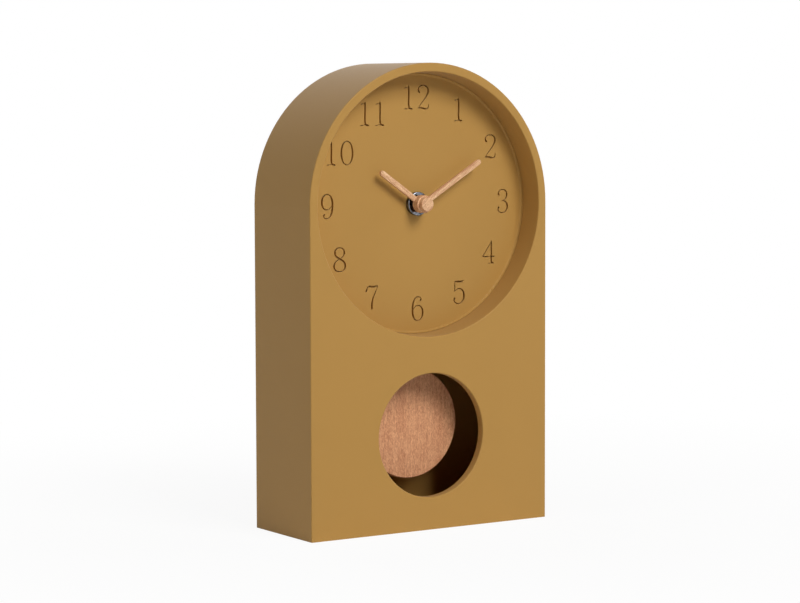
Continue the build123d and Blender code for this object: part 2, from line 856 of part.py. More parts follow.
def make_train_plate():
    """The plate between the hands' gears and the time train, carried on four pegs."""
    left = -inner_half_movement + plate_side_gap
    face = panel(left, plate_right, gear_floor + plate_side_gap, gear_ceiling - plate_side_gap)
    holes = [(peg_radius, place) for place in peg_places]
    holes += [(small_arbor_radius, place) for place in (third_place, fifth_place, rotor_place)]
    holes += [(minute_tail_radius, hands_place), (setting_shaft_radius, setting_place)]
    for radius, place in holes:
        face -= Circle(radius + arbor_clearance).moved(Pos(*place))
    return slab(face, plate_near, plate_far)


def make_rubber_washer():
    """The washer between the dial and the movement."""
    return tube(washer_radius, stem_radius + stem_gap, dial_rear, movement_face)


def make_hand_nut():
    """The round chromed nut that clamps the movement to the dial."""
    nut = tube(nut_radius, stem_radius + nut_clearance, dial_face - nut_height, dial_face)
    front_edges = nut.edges().filter_by(lambda edge: edge.center().Y < dial_face - nut_height / 2)
    rim = front_edges.filter_by(GeomType.CIRCLE).sort_by(lambda edge: edge.radius)[-1]
    return fillet(rim, nut_round)


# Stepping motor and circuit
def make_stator():
    """The motor's soft-iron plate: a ring round the rotor and two arms to the coil core."""
    x, z = rotor_place
    left = x - stator_bar / 2
    right = motor_coil_x + coil_core_width
    face = Circle(stator_bore + stator_ring).moved(Pos(x, z))
    face += panel(left, left + stator_bar, stator_bottom, stator_top)
    face += panel(left, right, stator_top - stator_bar, stator_top)
    face += panel(left, right, stator_bottom, stator_bottom + stator_bar)
    face -= Circle(stator_bore).moved(Pos(x, z))
    return slab(face, stator_near, stator_far)


def upright(radius, bore, bottom, top):
    """A ring about the motor coil's upright axis."""
    ring = extrude(Circle(radius) - Circle(bore), top - bottom)
    return Pos(motor_coil_x, coil_axis_depth, bottom) * ring


def make_motor_bobbin():
    """The bobbin on the coil core: a tube between two flanges."""
    bore = math.hypot(coil_core_width, coil_core_thickness) / 2 + coil_core_gap
    bobbin = upright(motor_tube_radius, bore, coil_bottom, coil_top)
    for low in (coil_bottom, coil_top - motor_flange):
        bobbin += upright(motor_flange_radius, bore, low, low + motor_flange)
    return bobbin


def make_motor_winding():
    """The motor's winding, as the solid ring that its wire fills."""
    return upright(motor_coil_radius, motor_tube_radius, coil_bottom + motor_flange, coil_top - motor_flange)


def make_motor_core():
    """The soft-iron strip through the bobbin."""
    left = motor_coil_x - coil_core_width / 2
    near = coil_axis_depth - coil_core_thickness / 2
    right = left + coil_core_width
    return block(left, right, stator_bottom, stator_top, near, near + coil_core_thickness)


def make_circuit_board():
    """The board behind the train plate, beside the third wheel."""
    board_far = plate_far + board_thickness
    return block(board_left, board_right, board_bottom, board_top, plate_far, board_far)


def make_chip():
    """The drop of resin over the chip, on the board's middle line."""
    place = ((board_left + board_right) / 2, board_bottom + chip_inset)
    near = plate_far + board_thickness
    drop = disc(chip_radius, near, near + chip_height, place)
    return fillet(drop.edges().sort_by(Axis.Y)[-1], chip_height / 2)


def make_crystal_can():
    """The crystal's can, lying upright along the board."""
    depth = plate_far + board_thickness + crystal_radius
    can = extrude(Circle(crystal_radius), crystal_length)
    return Pos(board_left + crystal_inset, depth, board_top - crystal_inset - crystal_length) * can


# Battery
def lying(radius, left, right):
    """A round bar along X at the battery's place."""
    return Pos(left, battery_depth, battery_height) * extrude(Plane.YZ * Circle(radius), right - left)


def make_battery():
    """One AA cell: a can with round edges and the nub at its right end."""
    right = battery_left + battery_length
    can = lying(battery_radius, battery_left, right)
    can = fillet(can.edges().filter_by(GeomType.CIRCLE), battery_round)
    return can + lying(battery_nub_radius, right, right + battery_nub_length)


def make_contact_plus():
    """The flat leaf that the nub presses on."""
    low = battery_height - contact_width / 2
    near = battery_depth - contact_width / 2
    left = inner_half_movement - contact_thickness
    return block(left, inner_half_movement, low, low + contact_width, near, near + contact_width)


def make_contact_minus():
    """A bowed leaf that presses on the flat end of the battery."""
    left = -inner_half_movement
    crown = left + contact_thickness + contact_spring
    near = battery_depth - contact_width / 2
    far = near + contact_width
    foot = contact_width / 2 * contact_thickness / (contact_thickness + contact_spring)
    leaf = Polyline(
        (left, near), (crown, battery_depth), (left, far),
        (left, far - foot), (crown - contact_thickness, battery_depth), (left, near + foot), close=True,
    )
    low = battery_height - contact_width / 2
    return extrude(Plane.XY.offset(low) * make_face(leaf.edges()), contact_width)


# Pendulum drive and pendulum
def make_pivot_pin():
    """The pin that the pendulum lever swings on."""
    return disc(pivot_radius, inner_face, inner_rear, (0, pivot_height))


def make_pendulum_lever():
    """The lever that the drive kicks: a hub on the pin, a magnet seat and a headed lug."""
    pivot_place = (0, pivot_height)
    magnet_place = (0, magnet_height)
    lug_place = (0, lug_height)
    seat = lever_near + magnet_wall / 2
    head_near = lever_far + lug_pin_length
    face = Circle(lever_hub_radius).moved(Pos(*pivot_place))
    face += Circle(magnet_radius + magnet_wall).moved(Pos(*magnet_place))
    face += panel(-lever_width / 2, lever_width / 2, lug_height - lever_tail / 2, pivot_height)
    face -= Circle(pivot_radius + pivot_clearance).moved(Pos(*pivot_place))
    lever = slab(face, lever_near, lever_far)
    lever -= disc(magnet_radius + magnet_clearance, seat, lever_far + overrun, magnet_place)
    lever += disc(lug_pin_radius, lever_far, head_near, lug_place)
    return lever + disc(lug_head_radius, head_near, head_near + lug_head_height, lug_place)


def make_lever_magnet():
    """The round magnet that faces the drive coil."""
    seat = lever_near + magnet_wall / 2 + magnet_clearance
    return disc(magnet_radius, seat, lever_far, (0, magnet_height))


def make_drive_bobbin():
    """The bobbin of the drive coil, on a peg of the back housing."""
    place = (0, magnet_height)
    bore = drive_peg_radius + magnet_clearance
    bobbin = tube(drive_tube_radius, bore, drive_coil_near, drive_coil_far, place)
    for near in (drive_coil_near, drive_coil_far - drive_flange):
        bobbin += tube(drive_coil_radius, bore, near, near + drive_flange, place)
    return bobbin


def make_drive_winding():
    """The drive coil's winding, as the solid ring that its wire fills."""
    outer = drive_coil_radius - drive_flange
    near = drive_coil_near + drive_flange
    return tube(outer, drive_tube_radius, near, drive_coil_far - drive_flange, (0, magnet_height))


def make_drive_board():
    """The drive's own small board, on the back wall beside the coil."""
    right = inner_half_movement - drive_board_inset
    top = divider - drive_board_inset
    left = right - drive_board_width
    return block(left, right, top - drive_board_height, top, inner_rear - board_thickness, inner_rear)


def make_pendulum_rod():
    """A flat strip with a keyhole that hangs on the lever's lug; its foot lies in the bob."""
    low_hole = (0, lug_height - keyhole_drop)
    slot = lug_pin_radius + rod_gap
    face = panel(-rod_width / 2, rod_width / 2, bob_height - rod_end_drop, lug_height)
    face += rounded_link(rod_head_radius, (0, lug_height), low_hole)
    face -= Circle(slot).moved(Pos(0, lug_height))
    face -= Circle(lug_head_radius + keyhole_gap).moved(Pos(*low_hole))
    face -= panel(-slot, slot, lug_height - keyhole_drop, lug_height)
    return slab(face, rod_near, rod_far)


def make_bob():
    """The wooden disc, with a groove in its back that the rod is bonded into."""
    bob = disc(bob_radius, bob_near, rod_far, (0, bob_height))
    bob = chamfer(bob.edges().filter_by(GeomType.CIRCLE), bob_edge)
    half = rod_width / 2 + rod_gap
    foot = bob_height - rod_end_drop - rod_gap
    top = bob_height + bob_radius + overrun
    return bob - block(-half, half, foot, top, rod_near - rod_gap, rod_far + overrun)


# Hands
def hand_bar(length, angle):
    """A flat bar from the hands' axis to a round tip, turned clockwise from noon."""
    half = hand_width / 2
    bar = panel(-half, half, 0, length - half) + Circle(half).moved(Pos(0, length - half))
    return Pos(*hands_place) * Rot(0, 0, -angle) * bar


def make_hour_hand():
    """The hour hand: a thin bar let into a round hub that sits on the hour tube."""
    bar_near = hour_hub_near + hour_bar_setback
    hand = slab(hand_bar(hour_hand_length, hour_angle), bar_near, bar_near + hour_bar_thickness)
    hand += disc(hour_hub_radius, hour_hub_near, hour_hub_far)
    hand -= disc(minute_tube_radius + hand_gap, hour_hub_near - overrun, hour_hub_far + overrun)
    return hand - disc(hour_tube_radius, hour_tube_end, hour_hub_far + overrun)


def make_minute_hand():
    """The minute hand: a thin bar at the back of a round hub that sits on the minute tube."""
    bar = hand_bar(minute_hand_length, minute_angle)
    hand = slab(bar, minute_hub_far - minute_bar_thickness, minute_hub_far)
    hand += disc(minute_hub_radius, minute_hub_near, minute_hub_far)
    return hand - disc(minute_tube_radius, minute_hub_near - overrun, minute_hub_far + overrun)


def make_minute_collar():
    """The wooden collar that closes the minute tube's front end, with a softened front edge."""
    collar = disc(collar_radius, collar_near, minute_hub_near)
    collar = chamfer(collar.edges().group_by(Axis.Y)[0], collar_edge)
    return collar - disc(minute_tube_radius, minute_tube_end, minute_hub_near + overrun)


pieces = {
    "case_shell": make_case_shell,
    "dial_plate": make_dial_plate,
    "back_cover": make_back_cover,
    "cover_screws": make_cover_screws,
    "dial_screws": make_dial_screws,
    "hand_nut": make_hand_nut,
    "rubber_washer": make_rubber_washer,
    "movement_front": make_movement_front,
    "movement_back": make_movement_back,
    "train_plate": make_train_plate,
    "hour_wheel": make_hour_wheel,
    "minute_arbor": make_minute_arbor,
    "reverse_wheel": make_reverse_wheel,
    "setting_knob": make_setting_knob,
    "minute_wheel": make_minute_wheel,
    "third_wheel": make_third_wheel,
    "seconds_wheel": make_seconds_wheel,
    "fifth_wheel": make_fifth_wheel,
    "rotor_arbor": make_rotor_arbor,
    "rotor_magnet": make_rotor_magnet,
    "stator": make_stator,
    "motor_bobbin": make_motor_bobbin,
    "motor_winding": make_motor_winding,
    "motor_core": make_motor_core,
    "circuit_board": make_circuit_board,
    "chip": make_chip,
    "crystal_can": make_crystal_can,
    "battery": make_battery,
    "contact_plus": make_contact_plus,
    "contact_minus": make_contact_minus,
    "pivot_pin": make_pivot_pin,
    "pendulum_lever": make_pendulum_lever,
    "lever_magnet": make_lever_magnet,
    "drive_bobbin": make_drive_bobbin,
    "drive_winding": make_drive_winding,
    "drive_board": make_drive_board,
    "pendulum_rod": make_pendulum_rod,
    "bob": make_bob,
    "hour_hand": make_hour_hand,
    "minute_hand": make_minute_hand,
    "minute_collar": make_minute_collar,
}

os.makedirs("parts", exist_ok=True)
for name, make in pieces.items():
    export_step(make(), f"parts/{name}.step")
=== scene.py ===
"""Desk pendulum clock: finishes, engraved dial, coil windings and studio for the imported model."""
import math

import bmesh
import bpy
from mathutils import Matrix, Vector


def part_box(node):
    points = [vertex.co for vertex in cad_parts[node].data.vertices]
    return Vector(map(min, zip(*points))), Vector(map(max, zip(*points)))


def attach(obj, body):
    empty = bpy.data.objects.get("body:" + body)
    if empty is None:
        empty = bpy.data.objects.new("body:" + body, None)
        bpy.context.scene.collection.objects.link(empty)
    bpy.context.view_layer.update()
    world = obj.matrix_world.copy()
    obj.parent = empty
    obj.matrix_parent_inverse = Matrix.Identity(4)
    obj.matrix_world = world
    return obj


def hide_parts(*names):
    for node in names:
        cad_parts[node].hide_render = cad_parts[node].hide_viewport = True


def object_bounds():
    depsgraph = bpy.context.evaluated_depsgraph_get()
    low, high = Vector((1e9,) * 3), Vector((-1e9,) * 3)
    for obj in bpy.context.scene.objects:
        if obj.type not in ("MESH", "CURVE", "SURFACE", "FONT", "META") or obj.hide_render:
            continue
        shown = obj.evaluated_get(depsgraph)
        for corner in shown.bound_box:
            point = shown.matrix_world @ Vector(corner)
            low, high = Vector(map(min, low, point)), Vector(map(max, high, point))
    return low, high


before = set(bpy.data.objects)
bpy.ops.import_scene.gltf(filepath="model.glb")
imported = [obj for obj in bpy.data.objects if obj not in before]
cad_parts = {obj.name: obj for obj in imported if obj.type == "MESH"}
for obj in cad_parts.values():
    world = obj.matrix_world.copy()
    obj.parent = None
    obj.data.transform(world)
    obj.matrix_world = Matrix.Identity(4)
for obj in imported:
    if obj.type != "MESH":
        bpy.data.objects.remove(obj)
cad_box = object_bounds()

bl_info = {
    "name": "Desk Pendulum Clock",
    "version": (1, 0, 0),
    "blender": (4, 5, 0),
    "location": "3D View > Sidebar > Clock",
    "description": "Dresses a desk pendulum clock: satin case, engraved dial, wooden hands and bob",
    "category": "Object",
}

MM = 0.001
SHARP_ANGLE = math.radians(35)
# Points of a finished mesh closer than the first are one. The second is for edges that count as
# none, and for the seams of a mesh that cuts.
SAME_POINT, TINY = 1e-6, 1e-7


def linear(code):
    """Turns an sRGB hex colour into the linear numbers that Blender's colours hold, by the sRGB
    standard's own curve."""
    parts = [int(code[i : i + 2], 16) / 255 for i in (1, 3, 5)]
    return tuple(c / 12.92 if c <= 0.04045 else ((c + 0.055) / 1.055) ** 2.4 for c in parts)


def centre_of(node):
    """The middle of a CAD node's box, in metres."""
    low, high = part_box(node)
    return (low + high) / 2


def add(tree, kind, feeds=None, **settings):
    """Adds a node, makes its settings, and gives each named input its value, or a link from a
    socket, from another node's first working output, or from each of a list of nodes."""
    node = tree.nodes.new(kind)
    for key, value in settings.items():
        setattr(node, key, value)
    for key, value in (feeds or {}).items():
        place = key if isinstance(key, int) else next(
            i for i, socket in enumerate(node.inputs) if socket.enabled and socket.name == key)
        for source in value if isinstance(value, list) else [value]:
            if isinstance(source, bpy.types.Node):
                source = next(socket for socket in source.outputs if socket.enabled)
            if isinstance(source, bpy.types.NodeSocket):
                tree.links.new(source, node.inputs[place])
            else:
                node.inputs[place].default_value = source
    return node


# Sizes and colours


class ClockFinish(bpy.types.PropertyGroup):
    """Colours of the clock's visible finishes."""

    case: bpy.props.FloatVectorProperty(
        name="Case", description="Satin plastic of the case, its back cover and the dial",
        subtype="COLOR", size=3, min=0, max=1, default=linear("#B58B4A"))
    bob: bpy.props.FloatVectorProperty(
        name="Bob", description="Main tone of the oak bob",
        subtype="COLOR", size=3, min=0, max=1, default=linear("#D79A6F"))
    hands: bpy.props.FloatVectorProperty(
        name="Hands", description="Main tone of the wooden hands and their cap",
        subtype="COLOR", size=3, min=0, max=1, default=linear("#DCAB80"))
    housing: bpy.props.FloatVectorProperty(
        name="Movement", description="Moulded housing of the movement",
        subtype="COLOR", size=3, min=0, max=1, default=linear("#2B2B2D"))
    gears: bpy.props.FloatVectorProperty(
        name="Gears", description="Acetal of the gears, the bobbins and the pendulum lever",
        subtype="COLOR", size=3, min=0, max=1, default=linear("#E8E4D8"))
    sleeve: bpy.props.FloatVectorProperty(
        name="Battery", description="Printed sleeve of the battery",
        subtype="COLOR", size=3, min=0, max=1, default=linear("#3F6B4F"))


class ClockSizes(bpy.types.PropertyGroup):
    """Sizes of what is made here and not in CAD."""

    numeral_height: bpy.props.FloatProperty(
        name="Numeral height", description="Height of a numeral on the dial",
        unit="LENGTH", min=0.004, max=0.03, default=0.0128)
    numeral_radius: bpy.props.FloatProperty(
        name="Numeral circle", description="Distance of the numerals' middles from the hands' axis",
        unit="LENGTH", min=0.02, max=0.065, default=0.056)
    groove_depth: bpy.props.FloatProperty(
        name="Groove depth", description="Depth of the numerals below the dial's face",
        unit="LENGTH", min=0.0002, max=0.002, default=0.0017)
    wire_pitch: bpy.props.FloatProperty(
        name="Wire pitch", description="Distance from one turn of a winding to the next",
        unit="LENGTH", min=0.0002, max=0.001, default=0.0004)


class ClockStage(bpy.types.PropertyGroup):
    """Levels of the studio lamps."""

    main: bpy.props.FloatProperty(
        name="Main", description="Large lamp in front and above",
        unit="POWER", min=0, default=83)
    left: bpy.props.FloatProperty(
        name="Left", description="Soft lamp to the left", unit="POWER", min=0, default=15)
    right: bpy.props.FloatProperty(
        name="Right", description="Soft lamp to the right", unit="POWER", min=0, default=13)
    behind: bpy.props.FloatProperty(
        name="Behind", description="Small lamp close behind, for the back of the clock alone",
        unit="POWER", min=0, default=2)


def finish():
    """The clock's colours, as the panel shows them."""
    return bpy.context.scene.clock_finish


def sizes():
    """The clock's sizes, as the panel shows them."""
    return bpy.context.scene.clock_sizes


# Materials


# Nearly all values of a noise texture lie between these two.
NOISE_RANGE = {"From Min": 0.3, "From Max": 0.7}
# How far roughness varies: to each side on a moulding, and as shares of its own on a metal.
MOULDED_SPREAD = 0.04
METAL_SPREAD = (0.7, 1.3)
# Brown wood darkens most in blue and least in red: each channel's share of a change in tone.
WOOD_CHANNELS = (0.7, 1.1, 1.3)
# What a pore leaves of each channel.
PORE_CHANNELS = (0.55, 0.38, 0.3)
# The four patterns in sanded wood: width and length as shares of a streak's, detail, distortion.
STREAKS = (1, 1, 4, 0.4)
BANDS = (6, 4, 2, 0.8)
FLECKS = (1.1, 0.1, 3, 1.6)
PORES = (0.5, 0.22, 1, 0.3)
# How rough these patterns are, and the share of bands in the wood's figure.
WOOD_FINENESS, BAND_SHARE = 0.6, 0.4
# The part of each pattern's values that makes its full change; a pore hides half of the wood.
FIGURE_RANGE = {"From Min": 0.38, "From Max": 0.62}
FLECK_RANGE = {"From Min": 0.35, "From Max": 0.65}
PORE_RANGE = {"From Min": 0.6, "From Max": 0.7, "To Max": 0.5}
# Dark streaks are a little rougher than the pale wood between them.
WOOD_ROUGHNESS = {"To Min": 0.7, "To Max": 0.54}
WOOD_RELIEF = {"Distance": 0.06 * MM, "Strength": 0.8}
# The weave that shows in a laminated board: its width, waver, change in tone and relief.
WEAVE_MM, WEAVE_WAVER, WEAVE_GAIN, WEAVE_RELIEF_MM = 1.2, 1.5, 0.12, 0.01
BOARD_ROUGHNESS, SLEEVE_ROUGHNESS = 0.5, 0.28
# The battery's bare ends and the soft edge of its print, in metres, where its dark band starts as
# a share of half its length, and the ripple of its shrunk sleeve.
BATTERY_END, PRINT_EDGE = 0.0023, 0.0005
BAND_START = 0.56
RIPPLE_MM, RIPPLE_RELIEF_MM = 6, 0.02
DARK_PRINT, BARE_STEEL = "#1E2022", "#B9BABB"


def shades(colour, gain, channels=(1, 1, 1)):
    """A colour made darker and lighter by a share, as what a Mix node blends between."""
    dark = [c * (1 - gain * share) for c, share in zip(colour, channels)]
    light = [min(1, c * (1 + gain * share)) for c, share in zip(colour, channels)]
    return {"A": (*dark, 1), "B": (*light, 1)}


def new_material(name, colour):
    """Starts a material: returns it, its node tree and the piece's own coordinates."""
    mat = bpy.data.materials.new(name)
    mat.use_nodes = True
    mat.diffuse_color = (*colour, 1)
    tree = mat.node_tree
    tree.nodes.clear()
    return mat, tree, add(tree, "ShaderNodeTexCoord").outputs["Object"]


def moulded(name, colour, roughness, grain_mm, relief_mm, cloud_mm=30, gain=0.02, **uniform):
    """Injection-moulded plastic: an even colour, a fine spark-eroded grain and a soft sheen.
    uniform holds what is the same all over, for the shader's own sockets."""
    mat, tree, where = new_material(name, colour)
    cloud = add(
        tree, "ShaderNodeTexNoise", {"Vector": where, "Scale": 1 / (cloud_mm * MM), "Detail": 3}
    )
    grain = add(
        tree, "ShaderNodeTexNoise", {"Vector": where, "Scale": 1 / (grain_mm * MM), "Detail": 2}
    )
    tone = add(tree, "ShaderNodeMix", {"Factor": cloud, **shades(colour, gain)}, data_type="RGBA")
    rough = add(
        tree, "ShaderNodeMapRange",
        {"Value": grain, **NOISE_RANGE, "To Min": roughness - MOULDED_SPREAD,
         "To Max": roughness + MOULDED_SPREAD},
    )
    relief = add(tree, "ShaderNodeBump", {"Height": grain, "Distance": relief_mm * MM})
    shader = add(
        tree, "ShaderNodeBsdfPrincipled",
        {"Base Color": tone, "Roughness": rough, "Normal": relief, **uniform},
    )
    add(tree, "ShaderNodeOutputMaterial", {"Surface": shader})
    return mat


def timber(name, colour, line_mm, length_mm, turn, centre, contrast, fleck):
    """Sanded, unlacquered wood: long soft streaks, short wavy flecks and dark pores on the grain.
    line_mm is a streak's width and length_mm its length; turn points the grain's Z axis.
    contrast and fleck are the changes in tone that the streaks and the flecks make."""
    mat, tree, where = new_material(name, colour)
    patterns = []
    for width, length, detail, distortion in (STREAKS, BANDS, FLECKS, PORES):
        across, along = width * line_mm * MM, length * length_mm * MM
        laid = add(
            tree, "ShaderNodeMapping",
            {"Vector": where, "Location": centre, "Rotation": turn,
             "Scale": (across, across, along)},
            vector_type="TEXTURE",
        )
        patterns.append(add(
            tree, "ShaderNodeTexNoise",
            {"Vector": laid, "Scale": 1, "Detail": detail, "Roughness": WOOD_FINENESS,
             "Distortion": distortion},
        ))
    streak, band, flecks, pore = patterns
    figure = add(
        tree, "ShaderNodeMix", {"Factor": BAND_SHARE, "A": streak, "B": band}, data_type="FLOAT"
    )
    tone = add(tree, "ShaderNodeMapRange", {"Value": figure, **FIGURE_RANGE})
    wavy = add(tree, "ShaderNodeMapRange", {"Value": flecks, **FLECK_RANGE})
    change = contrast + fleck
    shade = add(
        tree, "ShaderNodeMix", {"Factor": fleck / change, "A": tone, "B": wavy}, data_type="FLOAT"
    )
    grain = add(
        tree, "ShaderNodeMix", {"Factor": shade, **shades(colour, change, WOOD_CHANNELS)},
        data_type="RGBA",
    )
    dash = add(tree, "ShaderNodeMapRange", {"Value": pore, **PORE_RANGE})
    deep = [c * share for c, share in zip(colour, PORE_CHANNELS)]
    wood = add(
        tree, "ShaderNodeMix", {"Factor": dash, "A": grain, "B": (*deep, 1)}, data_type="RGBA"
    )
    rough = add(tree, "ShaderNodeMapRange", {"Value": figure, **NOISE_RANGE, **WOOD_ROUGHNESS})
    height = add(tree, "ShaderNodeMath", {0: flecks, 1: dash}, operation="SUBTRACT")
    relief = add(tree, "ShaderNodeBump", {"Height": height, **WOOD_RELIEF})
    shader = add(
        tree, "ShaderNodeBsdfPrincipled", {"Base Color": wood, "Roughness": rough, "Normal": relief}
    )
    add(tree, "ShaderNodeOutputMaterial", {"Surface": shader})
    return mat


def metal(name, colour, roughness, marks_mm, relief_mm, gain=0.04):
    """Metal with fine marks along its making: marks_mm gives their size on each axis."""
    mat, tree, where = new_material(name, colour)
    laid = add(
        tree, "ShaderNodeMapping",
        {"Vector": where, "Scale": tuple(size * MM for size in marks_mm)},
        vector_type="TEXTURE",
    )
    marks = add(tree, "ShaderNodeTexNoise", {"Vector": laid, "Scale": 1, "Detail": 3})
    clear = add(tree, "ShaderNodeMapRange", {"Value": marks, **NOISE_RANGE})
    tone = add(tree, "ShaderNodeMix", {"Factor": clear, **shades(colour, gain)}, data_type="RGBA")
    rough = add(
        tree, "ShaderNodeMapRange",
        {"Value": clear, "To Min": roughness * METAL_SPREAD[0],
         "To Max": roughness * METAL_SPREAD[1]},
    )
    relief = add(tree, "ShaderNodeBump", {"Height": marks, "Distance": relief_mm * MM})
    shader = add(
        tree, "ShaderNodeBsdfPrincipled",
        {"Base Color": tone, "Roughness": rough, "Normal": relief, "Metallic": 1.0},
    )
    add(tree, "ShaderNodeOutputMaterial", {"Surface": shader})
    return mat


def laminate(name, colour):
    """Pressed paper and resin board: a weak weave in the sheet and a waxy surface."""
    mat, tree, where = new_material(name, colour)
    weave = add(
        tree, "ShaderNodeTexWave",
        {"Vector": where, "Scale": 1 / (WEAVE_MM * MM), "Distortion": WEAVE_WAVER, "Detail": 2},
        bands_direction="Z",
    )
    tone = add(
        tree, "ShaderNodeMix", {"Factor": weave, **shades(colour, WEAVE_GAIN)}, data_type="RGBA"
    )
    relief = add(tree, "ShaderNodeBump", {"Height": weave, "Distance": WEAVE_RELIEF_MM * MM})
    shader = add(
        tree, "ShaderNodeBsdfPrincipled",
        {"Base Color": tone, "Normal": relief, "Roughness": BOARD_ROUGHNESS},
    )
    add(tree, "ShaderNodeOutputMaterial", {"Surface": shader})
    return mat


def sleeve_material(name, colour):
    """Shrunk printed sleeve over a steel can: glossy colour between two bare metal ends.
    The ends and the dark band are told apart by their place along the battery."""
    low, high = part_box("battery")
    half = (high.x - low.x) / 2
    mat, tree, where = new_material(name, colour)
    from_middle = add(
        tree, "ShaderNodeVectorMath", {0: where, 1: tuple((low + high) / 2)}, operation="SUBTRACT"
    )
    along = add(tree, "ShaderNodeSeparateXYZ", {"Vector": from_middle})
    out = add(tree, "ShaderNodeMath", {0: along}, operation="ABSOLUTE")
    bare = half - BATTERY_END
    ends = add(
        tree, "ShaderNodeMapRange", {"Value": out, "From Min": bare, "From Max": bare + PRINT_EDGE}
    )
    edge = half * BAND_START
    band = add(
        tree, "ShaderNodeMapRange",
        {"Value": along, "From Min": edge, "From Max": edge + PRINT_EDGE},
    )
    printed = add(
        tree, "ShaderNodeMix", {"Factor": band, "A": (*colour, 1), "B": (*linear(DARK_PRINT), 1)},
        data_type="RGBA",
    )
    whole = add(
        tree, "ShaderNodeMix", {"Factor": ends, "A": printed, "B": (*linear(BARE_STEEL), 1)},
        data_type="RGBA",
    )
    ripple = add(
        tree, "ShaderNodeTexNoise", {"Vector": where, "Scale": 1 / (RIPPLE_MM * MM), "Detail": 2}
    )
    relief = add(tree, "ShaderNodeBump", {"Height": ripple, "Distance": RIPPLE_RELIEF_MM * MM})
    shader = add(
        tree, "ShaderNodeBsdfPrincipled",
        {"Base Color": whole, "Metallic": ends, "Normal": relief, "Roughness": SLEEVE_ROUGHNESS},
    )
    add(tree, "ShaderNodeOutputMaterial", {"Surface": shader})
    return mat


def dress(mat, *nodes):
    """Puts a material on CAD nodes, in every slot they have."""
    for name in nodes:
        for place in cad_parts[name].material_slots:
            place.material = mat


# Meshes


def tidy_mesh(mesh):
    """Closes seams, turns faces outwards and keeps edges sharp where surfaces meet at an angle."""
    work = bmesh.new()
    work.from_mesh(mesh)
    bmesh.ops.remove_doubles(work, verts=work.verts, dist=SAME_POINT)
    bmesh.ops.dissolve_degenerate(work, edges=work.edges, dist=TINY)
    bmesh.ops.recalc_face_normals(work, faces=work.faces)
    work.to_mesh(mesh)
    work.free()
    if "custom_normal" in mesh.attributes:
        mesh.attributes.remove(mesh.attributes["custom_normal"])
    mesh.shade_smooth()
    mesh.set_sharp_from_angle(angle=SHARP_ANGLE)


def show(name, data):
    """Puts a new object with this data in the scene."""
    obj = bpy.data.objects.new(name, data)
    bpy.context.scene.collection.objects.link(obj)
    return obj


def settle(obj, name):
    """Turns an object and its modifiers into one plain mesh object of the given name."""
    evaluated = obj.evaluated_get(bpy.context.evaluated_depsgraph_get())
    mesh = bpy.data.meshes.new_from_object(evaluated)
    bpy.data.objects.remove(obj)
    mesh.name = name
    return show(name, mesh)


def node_tree(name, inputs):
    """Starts a Geometry Nodes tree with named inputs, each a (name, socket kind) pair."""
    tree = bpy.data.node_groups.new(name, "GeometryNodeTree")
    tree.is_modifier = True
    tree.interface.new_socket("Geometry", in_out="INPUT", socket_type="NodeSocketGeometry")
    for label, kind in inputs:
        tree.interface.new_socket(label, in_out="INPUT", socket_type=kind)
    tree.interface.new_socket("Geometry", in_out="OUTPUT", socket_type="NodeSocketGeometry")
    return tree, add(tree, "NodeGroupInput")


def end_tree(tree, geometry, material):
    """Ends a tree in real geometry that carries its material."""
    real = add(tree, "GeometryNodeRealizeInstances", {"Geometry": geometry})
    done = add(tree, "GeometryNodeSetMaterial", {"Geometry": real, "Material": material})
    add(tree, "NodeGroupOutput", {"Geometry": done})


def use_tree(obj, tree, values):
    """Gives an object a tree as its modifier, with its inputs set by their identifiers."""
    modifier = obj.modifiers.new(tree.name, "NODES")
    modifier.node_group = tree
    for item in tree.interface.items_tree:
        if item.in_out == "INPUT" and item.name in values:
            modifier[item.identifier] = values[item.name]


# Dial and numerals


# Each numeral is made of strokes. A stroke is a row of points: right and up from the middle of a
# numeral 12.8 high, then half the stroke's width there. Ball ends are short swellings of a stroke.
ONE = [
    [(0.0, 6.4, 0.12), (0.1, 5.6, 0.46), (0.1, 0.0, 0.5), (0.1, -4.2, 0.5), (0.45, -5.5, 0.5),
     (1.3, -6.0, 0.42), (2.2, -6.15, 0.42), (2.65, -6.2, 0.05)],
    [(-2.5, 5.0, 0.08), (-2.2, 5.05, 0.42), (-1.7, 5.1, 0.22), (0.1, 5.35, 0.16)],
    [(-2.75, -6.15, 0.08), (-2.4, -6.15, 0.36), (-1.9, -6.1, 0.2), (0.5, -5.7, 0.16)],
]
TWO = [
    [(-2.0, 2.45, 0.1), (-2.35, 2.7, 0.5), (-2.85, 3.2, 0.52), (-3.15, 4.2, 0.34),
     (-2.4, 5.6, 0.26), (-0.2, 6.35, 0.26), (2.2, 5.6, 0.38), (3.15, 3.8, 0.52), (2.6, 1.7, 0.46),
     (0.9, -0.8, 0.32), (-1.6, -3.6, 0.26), (-3.2, -5.7, 0.24)],
    [(-3.4, -5.95, 0.16), (-2.4, -5.6, 0.36), (-0.6, -5.75, 0.46), (1.2, -6.1, 0.42),
     (2.6, -5.95, 0.34), (3.2, -5.0, 0.3), (3.35, -3.5, 0.12)],
]
THREE = [
    [(-2.1, 3.1, 0.1), (-2.3, 3.3, 0.48), (-2.7, 3.9, 0.5), (-2.7, 4.8, 0.32), (-1.8, 5.9, 0.24),
     (0.0, 6.35, 0.24), (1.95, 5.6, 0.38), (2.75, 3.65, 0.5), (2.0, 1.6, 0.4), (0.3, 0.5, 0.24),
     (-0.6, 0.3, 0.1)],
    [(-0.6, 0.3, 0.1), (0.4, 0.3, 0.22), (2.2, -0.6, 0.4), (3.15, -2.7, 0.54), (2.35, -5.0, 0.42),
     (0.2, -6.3, 0.26), (-1.9, -5.9, 0.24), (-3.0, -4.7, 0.34), (-2.85, -3.7, 0.5),
     (-2.4, -3.1, 0.46), (-2.2, -2.9, 0.1)],
]
